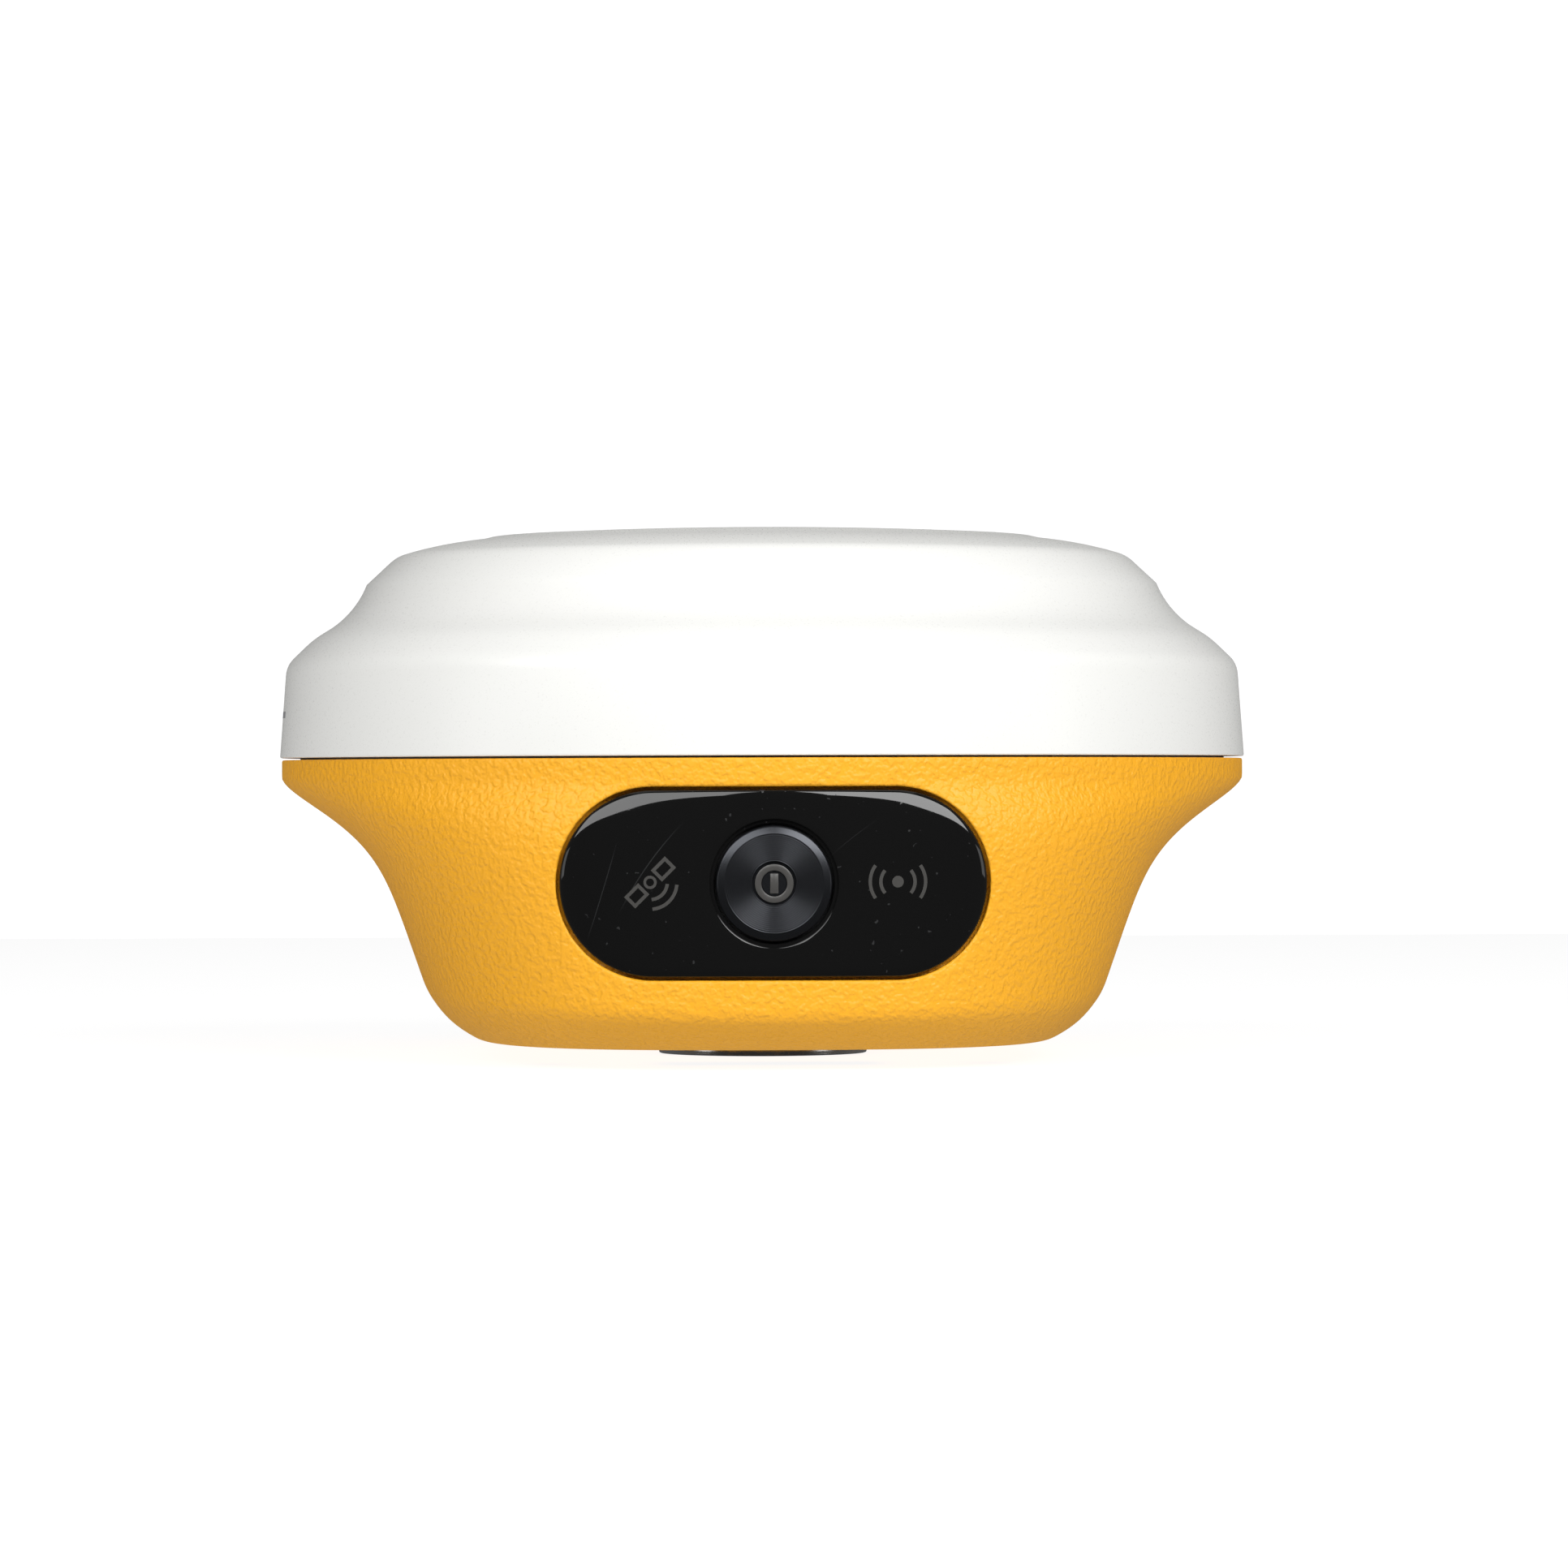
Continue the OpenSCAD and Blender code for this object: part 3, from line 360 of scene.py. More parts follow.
def turned_metal(name, colour, roughness, pitch=0.00022, depth=0.00002):
    """Metal faced on a lathe: rings about the vertical axis, from the distance to it."""
    finish = new_finish(name, colour, roughness, 1.0)
    spot = place(finish, (1, 1, 0))
    reach = add_node(finish, "ShaderNodeVectorMath", {0: spot}, operation="LENGTH")
    rings = maths(finish, "SINE", maths(finish, "MULTIPLY", reach.outputs["Value"], math.tau / pitch))
    smear = grain(finish, 220, 2.0)
    bumps(finish, [(rings, depth, 0.35), (smear, 0.00002, 0.2)])
    to_shader(finish, "Roughness", spread(finish, smear, roughness * 0.8, roughness * 1.3))
    return finish


def circuit_board(name, colour):
    """Solder mask over copper: the tracks show as slightly raised, paler lines."""
    finish = new_finish(name, colour, 0.34)
    tracks = add_node(finish, "ShaderNodeTexBrick", {"Vector": place(finish)})
    for socket, value in (("Scale", 260.0), ("Mortar Size", 0.03), ("Mortar Smooth", 0.1)):
        tracks.inputs[socket].default_value = value
    lines = spread(finish, tracks.outputs["Fac"], 1, 0, 0, 1)
    tint(finish, lines, shade_of(colour, 1.5), colour)
    bumps(finish, [(lines, 0.00003, 0.3), (grain(finish, 1800, 1.0), 0.00002, 0.2)])
    return finish


# %% [markdown]
# With the recipes in place, the record's slots are filled one by one. The button's cap is
# anodised aluminium, which is a dark metal under a hard clear skin.

# %% Finishes by slot
FINISHES = {
    "dome_white": dome_white,
    "housing_orange": housing_orange,
    "panel_black": panel_black,
    "mark_grey": moulded("mark_grey", (0.30, 0.30, 0.31), 0.5),
    "seal_black": moulded("seal_black", (0.012, 0.012, 0.012), 0.62, 1500, 0.00005),
    "icon_grey": moulded("icon_grey", (0.060, 0.058, 0.055), 0.32),
    "button_black": new_finish("button_black", (0.040, 0.042, 0.047), 0.27, 0.85),
    "seat_steel": turned_metal("seat_steel", (0.62, 0.62, 0.60), 0.2),
    "screw_steel": machined("screw_steel", (0.56, 0.55, 0.53), 0.28, (6, 1, 1)),
    "brass": machined("brass", (0.70, 0.48, 0.17), 0.27),
    "board_green": circuit_board("board_green", (0.010, 0.085, 0.030)),
    "board_blue": circuit_board("board_blue", (0.008, 0.030, 0.110)),
    "tin_plate": machined("tin_plate", (0.60, 0.60, 0.58), 0.33, (1, 9, 1)),
    "patch_ceramic": moulded("patch_ceramic", (0.62, 0.56, 0.44), 0.55, 1200, 0.00006),
    "nylon_white": moulded("nylon_white", (0.66, 0.65, 0.60), 0.45, Subsurface_Weight=0.05),
    "inner_black": moulded("inner_black", (0.014, 0.014, 0.015), 0.42),
    "clear_pipe": moulded("clear_pipe", (0.75, 0.76, 0.76), 0.12, Transmission_Weight=0.7),
    "led_yellow": moulded("led_yellow", (0.80, 0.62, 0.10), 0.3, Transmission_Weight=0.3),
    "plunger_brown": moulded("plunger_brown", (0.16, 0.055, 0.025), 0.4),
    "flex_amber": moulded("flex_amber", (0.42, 0.15, 0.015), 0.3, 900),
    "cell_blue": moulded("cell_blue", (0.010, 0.055, 0.24), 0.26, 400, 0.00003),
    "lead_black": moulded("lead_black", (0.014, 0.014, 0.014), 0.4),
    "lead_red": moulded("lead_red", (0.36, 0.010, 0.008), 0.4),
    "door_black": moulded("door_black", (0.020, 0.020, 0.021), 0.5, 1300, 0.00009),
    "plate_silver": machined("plate_silver", (0.58, 0.585, 0.59), 0.36, (0.04, 1, 1), 1500),
}

slot_of = {}
for part in frame["record"]["subparts"]:
    slot_of[part["node"]] = part["material_slot"]
for name, node in frame["nodes"].items():
    finish = FINISHES[slot_of[name]]
    for holder in node.material_slots:
        holder.material = finish
print(len(FINISHES), "finishes on", len(frame["nodes"]), "nodes")

# %% [markdown]
# The lower housing follows one rule from floor to lip. Seen from above, each level is a
# squared oval whose half width grows from a pinched waist to the full circle, while the
# depth hardly changes. Writing the rule once lets the housing, the panel, the icons and the
# port bay all lie on exactly the same surface.

# %% The rule of the housing's wall
def box_mm(node):
    low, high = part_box(node)
    return np.array(low) / MM, np.array(high) / MM


housing_low, housing_high = box_mm("lower_housing")
FLOOR_Z, LIP_Z, LIP_R = housing_low[2], housing_high[2], housing_high[0]
WALL = 2.6
WAIST_R, WAIST_Z = 52.3, 10.8
FRONT_WAIST_R, FRONT_WAIST_Z = LIP_R - 0.8, 7.8
FOOT_SIDE_R, FOOT_FRONT_R = 44.2, 64.3
FLARE_LOW, FLARE_HIGH, FLARE_POWER = 7.8, LIP_Z - 2.9, 3.58
SIDE_SLOPE, BOX_POWER = 0.35, 2.9
TURNS = np.radians(np.arange(360))


def flare(z):
    t = np.clip((z - FLARE_LOW) / (FLARE_HIGH - FLARE_LOW), 0, 1) ** FLARE_POWER
    return t * t * (3 - 2 * t)


def side_r(z):
    line = WAIST_R + SIDE_SLOPE * (np.minimum(z, FLARE_HIGH) - WAIST_Z)
    return line + (LIP_R - WAIST_R - SIDE_SLOPE * (FLARE_HIGH - WAIST_Z)) * flare(z)


def front_r(z):
    climb = np.clip((z - FRONT_WAIST_Z) / (LIP_Z - 2 - FRONT_WAIST_Z), 0, 1)
    return FRONT_WAIST_R + (LIP_R - FRONT_WAIST_R) * climb


def plan_power(z):
    return 2 + (BOX_POWER - 2) * (1 - flare(z))


def plan_r(turn, a, b, power):
    across = (np.abs(np.cos(turn)) / a) ** power
    return (across + (np.abs(np.sin(turn)) / b) ** power) ** (-1 / power)


def wall_y(x, z):
    """Depth of the outer wall at a point of the front or back."""
    power = plan_power(z)
    return front_r(z) * (1 - (np.abs(x) / side_r(z)) ** power) ** (1 / power)


def round_points(r, z):
    return np.column_stack([r * np.cos(TURNS), r * np.sin(TURNS), z + 0 * TURNS])


EDGE = FRONT_WAIST_Z + (WAIST_Z - FRONT_WAIST_Z) * np.cos(TURNS) ** 2


def chamfer_ring(t, inset=0.0):
    """A ring on the bevel between the flat underside (t = 0) and the wall (t = 1)."""
    edge = EDGE + 0.3 * inset
    low = FLOOR_Z + inset
    foot = plan_r(TURNS, FOOT_SIDE_R - 0.4 * inset, FOOT_FRONT_R - 0.4 * inset, BOX_POWER)
    waist = plan_r(TURNS, side_r(edge) - inset, front_r(edge) - inset, BOX_POWER)
    bulge = 0.7 * 0.9 * math.sin(math.pi * t)
    return round_points(foot + (waist - foot) * t + bulge, low + (edge - low) * t - bulge)


def wall_ring(z, inset=0.0):
    return round_points(plan_r(TURNS, side_r(z) - inset, front_r(z) - inset, plan_power(z)), z)


def soft_corner(a, corner, b, steps=5):
    """A rounded corner: the curve from a to b that a corner point pulls outwards."""
    shares = np.linspace(0, 1, steps + 1)
    return [(1 - s) ** 2 * a + 2 * s * (1 - s) * corner + s * s * b for s in shares]


print("housing", FLOOR_Z, "to", LIP_Z, "mm, lip radius", LIP_R)

# %% [markdown]
# The panel and the port bay are openings in that wall. A patch of the ring grid is left
# out round each one, and further rings lead from the patch's border to the opening's
# outline, always on the wall's surface, so that no kink shows in the reflections. The same
# rings then carry on round the moulded edge, down the recess and through to the inside.

# %% Openings in a grid of rings
def patch_border(rings, rows, columns):
    low, high = rows
    left, right = columns
    border = [rings[low][c % 360] for c in range(left, right)]
    border += [rings[k][right % 360] for k in range(low, high)]
    border += [rings[high][c % 360] for c in range(right, left, -1)]
    return border + [rings[k][left % 360] for k in range(high, low, -1)]


def skin(form, rings, openings):
    for k in range(len(rings) - 1):
        for j in range(360):
            if any(r[0] <= k < r[1] and (j - c[0]) % 360 < c[1] - c[0] for r, c in openings):
                continue
            n = (j + 1) % 360
            form.faces.append((rings[k][j], rings[k][n], rings[k + 1][n], rings[k + 1][j]))


def outline_near(points, width, height, corner, middle_z):
    """The nearest point of a rounded rectangle's outline to each point (x, z)."""
    reach = np.array([width / 2 - corner, height / 2 - corner])
    middle = np.array([0, middle_z])
    core = np.clip(points - middle, -reach, reach) + middle
    way = points - core
    return core + corner * way / np.linalg.norm(way, axis=1, keepdims=True)


def on_wall(points, depth, side):
    """Points (x, z) at a depth below the wall's surface; side is -1 in front, 1 behind."""
    x, z = points[:, 0], points[:, 1]
    return np.column_stack([x, side * (wall_y(x, z) - depth), z])


def at_y(points, y):
    return np.column_stack([points[:, 0], y + 0 * points[:, 0], points[:, 1]])


def moulded_edge(form, border, side, outline, soft=0.5, lead=6):
    """Rings from a patch's border over the wall and round the edge of an opening."""
    start = np.array([form.points[i] for i in border])[:, [0, 2]]
    mouth = outline(start, soft)
    rings = [border]
    for share in np.linspace(0, 1, lead + 1)[1:-1]:
        rings.append(form.ring(on_wall(start + (mouth - start) * share, 0, side)))
    for angle in np.radians([0, 22.5, 45, 67.5, 90]):
        grow, depth = soft * (1 - math.sin(angle)), soft * (1 - math.cos(angle))
        rings.append(form.ring(on_wall(outline(mouth, grow), depth, side)))
    return rings, outline(mouth, 0)


# %% [markdown]
# Inside the housing stand the things that only a service technician sees: screw towers,
# board posts and the thick boss round the pole thread. Each is a short stack of circles
# that starts in a hole of the flat floor, so the whole housing stays one closed skin.

# %% Posts and wells as stacks of circles
def circle(r, x, y, z, count=48):
    turn = np.linspace(0, math.tau, count, endpoint=False)
    return np.column_stack([x + r * np.cos(turn), y + r * np.sin(turn), z + 0 * turn])


def stack(form, x, y, steps, count=48):
    rings = [form.ring(circle(r, x, y, z, count)) for r, z in steps]
    form.bands(rings)
    return rings


TOWERS = [(x, y) for x in (-33, 33) for y in (-43, 43)]
TOWER_R, TOWER_TOP, WELL_TOP, WELL_R, SCREW_R = 4.6, 45.0, 42.0, 3.2, 1.6
BOARD_POSTS = [(x, y) for x in (-39.8, 39.8) for y in (-14.4, 14.4)]
STRAP_POSTS = [(-41.0, 0), (41.0, 0)]
TAP_R = 1.25
VENT_Y, VENT_R = 48.0, 2.6
INNER_FLOOR = FLOOR_Z + WALL
BOSS_R, BOSS_TOP, BORE_R, BORE_TOP = 17, 24, 10.5, 20.0


def add_inner_posts(form, inside, under):
    """Adds every post, well and bore, with its mouth on the list of the floor it opens in."""
    boss = stack(form, 0, 0, ((BOSS_R, INNER_FLOOR), (BOSS_R, BOSS_TOP - 0.4),
                              (BOSS_R - 0.4, BOSS_TOP)), 96)
    inside.append(boss[0])
    form.flat(boss[-1])
    for x, y in TOWERS:
        tower = stack(form, x, y, ((TOWER_R, INNER_FLOOR), (TOWER_R, TOWER_TOP), (SCREW_R, TOWER_TOP),
                                   (SCREW_R, WELL_TOP), (WELL_R, WELL_TOP), (WELL_R, FLOOR_Z + 0.3),
                                   (WELL_R + 0.3, FLOOR_Z)))
        inside.append(tower[0])
        under.append(tower[-1])
    for posts, r, top, deep in ((BOARD_POSTS, 3.2, 28.0, 6.5), (STRAP_POSTS, 3.0, 9.0, 3.3)):
        for x, y in posts:
            post = stack(form, x, y, ((r, INNER_FLOOR), (r, top), (TAP_R, top), (TAP_R, top - deep)), 32)
            inside.append(post[0])
            form.flat(post[-1])
    vent = stack(form, 0, VENT_Y, ((VENT_R, INNER_FLOOR), (VENT_R, FLOOR_Z)), 32)
    inside.append(vent[0])
    under.append(vent[-1])
    bore = stack(form, 0, 0, ((BORE_R, FLOOR_Z), (BORE_R, BORE_TOP)), 96)
    under.append(bore[0])
    form.flat(bore[-1])


print(len(TOWERS), "screw towers,", len(BOARD_POSTS), "board posts")

# %% [markdown]
# Now the housing's two skins. The outer one runs from the flat underside, round the soft
# bevel and up to the lip; the inner one comes back down from the gasket ledge. Fifty rings
# of the wall are spaced evenly, because the openings are counted in rows and columns.

# %% Skins of the housing
WALL_RINGS, SOFT_EDGE, SOFT_LIP = 50, 1.5, 0.35
GASKET_Z, REBATE_R, LEDGE_R, LEDGE_Z = 42.6, 72.25, 68.2, 39.7


def outer_skin():
    foot = plan_r(TURNS, FOOT_SIDE_R, FOOT_FRONT_R, BOX_POWER)
    rings = soft_corner(round_points(foot - 1.0, FLOOR_Z), chamfer_ring(0), chamfer_ring(0.1))
    rings += [chamfer_ring(t) for t in np.linspace(0.1, 0.86, 9)[1:-1]]
    base = EDGE + SOFT_EDGE
    rings += soft_corner(chamfer_ring(0.86), chamfer_ring(1), wall_ring(base))
    first = len(rings) - 1
    top = LIP_Z - SOFT_LIP
    rings += [wall_ring(base + (top - base) * k / WALL_RINGS) for k in range(1, WALL_RINGS + 1)]
    lip = wall_ring(LIP_Z + 0 * TURNS)
    rings += soft_corner(rings[-1], lip, round_points(LIP_R - SOFT_LIP, LIP_Z), 4)[1:]
    return rings, first


def inner_skin(rows):
    base, low, high = EDGE + 0.3 * WALL, 14.2, LEDGE_Z - 0.25
    rings = [wall_ring(LEDGE_Z + 0 * TURNS, WALL)]
    rings += [wall_ring(high + (low - high) * k / rows + 0 * TURNS, WALL) for k in range(rows + 1)]
    rings += [wall_ring(base + (low - base) * s, WALL) for s in (0.66, 0.33)]
    return rings + [chamfer_ring(t, WALL) for t in (1, 0.8, 0.6, 0.4, 0.2, 0)]


print(WALL_RINGS, "rings between the bevel and the lip")

# %% [markdown]
# At the front, the opening steps down to a ledge for the panel and then through a smaller
# window to a pad on the inside. At the back, the port bay has a flat floor with a shallow
# step for the port frame's flange and a hole for its tub.

# %% Rings round the two openings
PANEL_W, PANEL_H, PANEL_Z, PANEL_T = 62.4, 27.2, 27.4, 2.0
PANEL_GAP, RECESS, WINDOW_W, WINDOW_H, PAD = 0.5, 2.3, 56.0, 21.0, 4.6
PORT_Z, DOOR_W, DOOR_H = 29.7, 39.4, 17.4
DOOR_FACE, DOOR_BACK = box_mm("port_door")[1][1], box_mm("door_seal")[1][1]
BAY_FLOOR, BAY_GAP, TUB_DEEP, FLANGE_DEEP = DOOR_BACK - 0.3, 0.3, 4.4, 1.2
FLANGE, TUB, INNER_PAD = (36.1, 14.9, 3), (32.1, 11.7, 2.9), (36, 17, 5)
FRONT_ROWS, FRONT_COLUMNS = (2, 48), (239, 301)
PORT_ROWS, PORT_COLUMNS = (10, 46), (68, 112)


def inner_border(rings, rows, columns):
    """The inner skin's rows run downwards, so its patch border is read from below."""
    low, high = rows[1], rows[0]
    left, right = columns
    border = [rings[low][c % 360] for c in range(left, right)]
    border += [rings[k][right % 360] for k in range(low, high, -1)]
    border += [rings[high][c % 360] for c in range(right, left, -1)]
    return border + [rings[k][left % 360] for k in range(high, low)]


def panel_outline(points, grow):
    height = PANEL_H + 2 * (PANEL_GAP + grow)
    return outline_near(points, PANEL_W - PANEL_H + height, height, height / 2, PANEL_Z)


def window_outline(points, grow):
    height = WINDOW_H + 2 * grow
    return outline_near(points, WINDOW_W + 2 * grow, height, height / 2, PANEL_Z)


def panel_rings(form, border):
    """The panel's recess, the window through its floor and the pad behind it."""
    rings, mouth = moulded_edge(form, border, -1, panel_outline)
    hole = window_outline(mouth, 0)
    pad = window_outline(hole, 1.2)
    return rings + [form.ring(on_wall(points, depth, -1)) for points, depth in
                    ((mouth, RECESS), (hole, RECESS), (hole, PAD), (pad, PAD))]


def bay_outline(points, grow):
    room = 2 * (BAY_GAP + grow)
    return outline_near(points, DOOR_W + room, DOOR_H + room, 4 + grow, PORT_Z)


def port_rings(form, border):
    """The port bay, with a step for the port frame's flange and a hole for its tub."""
    rings, mouth = moulded_edge(form, border, 1, bay_outline, 0.4)
    flange = outline_near(mouth, *FLANGE, PORT_Z)
    tub = outline_near(flange, *TUB, PORT_Z)
    pad = outline_near(tub, *INNER_PAD, PORT_Z)
    return rings + [form.ring(at_y(points, BAY_FLOOR - deep)) for points, deep in
                    ((mouth, 0), (flange, 0), (flange, FLANGE_DEEP), (tub, FLANGE_DEEP),
                     (tub, TUB_DEEP), (pad, TUB_DEEP))]


print("panel", PANEL_W, "x", PANEL_H, "mm, door", DOOR_W, "x", DOOR_H, "mm")

# %% [markdown]
# The door's hinge turns between two small ears that stand on the bay's floor. With those,
# the skins, the openings and the posts, the housing is put together as one closed moulding.

# %% The lower housing
HINGE_Y, HINGE_Z, HINGE_W, BARREL_R = 72.1875, 22.3, 33.0, 1.3
EAR_TOP, EAR_ROOM, EAR_W, EAR_GAP, EAR_ROUND = 1.6, 0.75, 3.2, 0.3, 0.6


def add_ear(form, side):
    """A rounded block at one end of the door's hinge, standing on the bay's floor."""
    left = side * (HINGE_W / 2 + EAR_GAP)
    right = left + side * EAR_W
    root, foot, top = BAY_FLOOR - 0.6, HINGE_Z - 2, HINGE_Z + EAR_TOP
    y, z = DOOR_FACE - EAR_ROUND, top - EAR_ROUND
    section = [(root, foot), (DOOR_FACE, foot)]
    section += [(y + EAR_ROUND * math.cos(t), z + EAR_ROUND * math.sin(t))
                for t in np.linspace(0, math.pi / 2, 6)]
    section.append((root, top))
    rings = [form.ring([(x, y, z) for y, z in section]) for x in (left, right)]
    form.bands(rings)
    form.cap(rings[0], rings[1])


def make_housing():
    form = Moulding()
    shapes, first = outer_skin()
    outer = [form.ring(ring) for ring in shapes]
    front = (tuple(first + r for r in FRONT_ROWS), FRONT_COLUMNS)
    port = (tuple(first + r for r in PORT_ROWS), PORT_COLUMNS)
    skin(form, outer, [front, port])
    ledge = [form.ring(round_points(r, z)) for r, z in
             ((REBATE_R, LIP_Z), (REBATE_R, GASKET_Z), (LEDGE_R, GASKET_Z), (LEDGE_R, LEDGE_Z))]
    rows = FRONT_ROWS[1] - FRONT_ROWS[0]
    port_rows = PORT_ROWS[1] - PORT_ROWS[0]
    inner = [form.ring(ring) for ring in inner_skin(rows)]
    form.bands([outer[-1], *ledge, inner[0]])
    skin(form, inner, [((1, 1 + rows), FRONT_COLUMNS), ((1, 1 + port_rows), PORT_COLUMNS)])
    rings = panel_rings(form, patch_border(outer, *front))
    form.bands(rings + [inner_border(inner, (1, 1 + rows), FRONT_COLUMNS)])
    rings = port_rings(form, patch_border(outer, *port))
    form.bands(rings + [inner_border(inner, (1, 1 + port_rows), PORT_COLUMNS)])
    for side in (-1, 1):
        add_ear(form, side)
    inside, under = [inner[-1]], [outer[0]]
    add_inner_posts(form, inside, under)
    form.flat(*inside)
    form.flat(*under)
    return form.piece("housing", housing_orange)


housing = make_housing()
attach(housing, "receiver")
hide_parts("lower_housing")

# %% [markdown]
# Many pieces here were turned or moulded round an axis: the dome, the button's cap and the
# rubber plugs. One Geometry Nodes tree does them all. It takes a half section drawn as a
# line of edges, sweeps it round a tiny circle and welds the points that meet on the axis.

# %% A node tree that turns a half section
GUIDE_R = 0.001
WELD = 1e-7


def new_tree(name, **inputs):
    """An empty node tree with named inputs, and the sockets to set them by."""
    tree = bpy.data.node_groups.new(name, "GeometryNodeTree")
    sockets = {label: tree.interface.new_socket(label, in_out="INPUT", socket_type="NodeSocket" + kind)
               for label, kind in inputs.items()}
    tree.interface.new_socket("Geometry", in_out="OUTPUT", socket_type="NodeSocketGeometry")
    return tree, sockets


def make_turning_tree():
    tree, sockets = new_tree("turn a half section", Geometry="Geometry", Steps="Int", Finish="Material")
    nodes = tree.nodes
    given, result = nodes.new("NodeGroupInput"), nodes.new("NodeGroupOutput")
    section = nodes.new("GeometryNodeMeshToCurve")
    guide = nodes.new("GeometryNodeCurvePrimitiveCircle")
    guide.inputs["Radius"].default_value = GUIDE_R
    upright = nodes.new("GeometryNodeSetCurveNormal")
    upright.mode = "Z_UP"
    sweep = nodes.new("GeometryNodeCurveToMesh")
    weld = nodes.new("GeometryNodeMergeByDistance")
    weld.inputs["Distance"].default_value = WELD
    real = nodes.new("GeometryNodeRealizeInstances")
    coat = nodes.new("GeometryNodeSetMaterial")
    for source, target in (
        (given.outputs["Geometry"], section.inputs["Mesh"]),
        (given.outputs["Steps"], guide.inputs["Resolution"]),
        (guide.outputs["Curve"], upright.inputs["Curve"]),
        (upright.outputs["Curve"], sweep.inputs["Curve"]),
        (section.outputs["Curve"], sweep.inputs["Profile Curve"]),
        (sweep.outputs["Mesh"], weld.inputs["Geometry"]),
        (weld.outputs["Geometry"], real.inputs["Geometry"]),
        (real.outputs["Geometry"], coat.inputs["Geometry"]),
        (given.outputs["Finish"], coat.inputs["Material"]),
        (coat.outputs["Geometry"], result.inputs["Geometry"]),
    ):
        tree.links.new(source, target)
    return tree, sockets


TURNING, TURNING_SOCKETS = make_turning_tree()


def baked(piece, tree, values):
    """Runs a node tree on a piece and returns the result as a plain mesh."""
    modifier = piece.modifiers.new(tree.name, "NODES")
    modifier.node_group = tree
    for socket, value in values.items():
        modifier[socket.identifier] = value
    bpy.context.view_layer.update()
    whole = piece.evaluated_get(bpy.context.evaluated_depsgraph_get())
    mesh = bpy.data.meshes.new_from_object(whole)
    piece.modifiers.remove(modifier)
    return mesh


def turned_mesh(section, finish, steps):
    """Turns a half section of points (r, z) in millimetres round the Z axis."""
    line = bpy.data.meshes.new("half section")
    line.from_pydata([(r * MM - GUIDE_R, -z * MM, 0) for r, z in section],
                     [(i, i + 1) for i in range(len(section) - 1)], [])
    blank = add_piece("blank", line, finish)
    mesh = baked(blank, TURNING, {TURNING_SOCKETS["Steps"]: steps,
                                  TURNING_SOCKETS["Finish"]: finish})
    bpy.data.objects.remove(blank)
    gaps = outward(mesh)
    print("turned", len(mesh.polygons), "faces,", gaps, "open edges")
    return mesh


def turned(name, section, finish, steps=96, sharp=SHARP_EDGE, matrix=None):
    mesh = turned_mesh(section, finish, steps)
    if matrix:
        mesh.transform(matrix)
    shade(mesh, sharp)
    return add_piece(name, mesh, finish)


print("turning tree has", len(TURNING.nodes), "nodes")

# %% [markdown]
# A half section needs soft corners and a few arcs. Corners are rounded by the same curve as
# the housing's bevel; an arc is given by its two ends and its radius, with a sign for the
# side that it bulges to.

# %% Drawing a half section
def arc(a, b, radius, steps=10):
    """Points between a and b on an arc; a positive radius bulges to the left of a to b."""
    a, b = np.array(a, float), np.array(b, float)
    half = (b - a) / 2
    reach = math.hypot(*half)
    left = np.array([-half[1], half[0]]) / reach
    middle = a + half - left * math.copysign(math.sqrt(radius ** 2 - reach ** 2), radius)
    start = math.atan2(*(a - middle)[::-1])
    sweep = (math.atan2(*(b - middle)[::-1]) - start + math.pi) % math.tau - math.pi
    turns = start + sweep * np.linspace(0, 1, steps + 1)
    return [tuple(middle + abs(radius) * np.array([math.cos(t), math.sin(t)])) for t in turns]


def softened(points, radius, steps=4):
    """Rounds every corner of a line of points; the ends stay."""
    points = [np.array(p, float) for p in points]
    result = [points[0]]
    for before, corner, after in zip(points, points[1:], points[2:]):
        reach = [min(radius, 0.45 * math.dist(corner, p)) for p in (before, after)]
        a = corner + (before - corner) / math.dist(corner, before) * reach[0]
        b = corner + (after - corner) / math.dist(corner, after) * reach[1]
        result += soft_corner(a, corner, b, steps)
    return [tuple(p) for p in result + [points[-1]]]


# %% [markdown]
# The dome is one moulding. From the parting line its rim leans slightly inwards, then comes
# a bevel, a hollow cove, a second bevel and a shallow cap. The inner side follows it at wall
# thickness down to the tongue that plugs into the housing's lip.

# %% The antenna dome
dome_low, dome_high = box_mm("radome")
DOME_Z, DOME_TOP = LIP_Z + 0.3, dome_high[2]
RIM_R, RIDGE_R, RIDGE_Z = dome_high[0], 73.95, 60.4
COVE_LOW, COVE_HIGH, SHOULDER, DISC_FOOT = (66.9, 66.2), (61.5, 72.9), (56.9, 77.2), (44.3, 79.75)
DISC_EDGE = (42.4, 80.2)
TONGUE_LOW, TONGUE_IN, TONGUE_OUT = dome_low[2], 69.7, 71.8


def rim_r(z):
    return RIM_R + (RIDGE_R - RIM_R) * (z - DOME_Z) / (RIDGE_Z - DOME_Z)


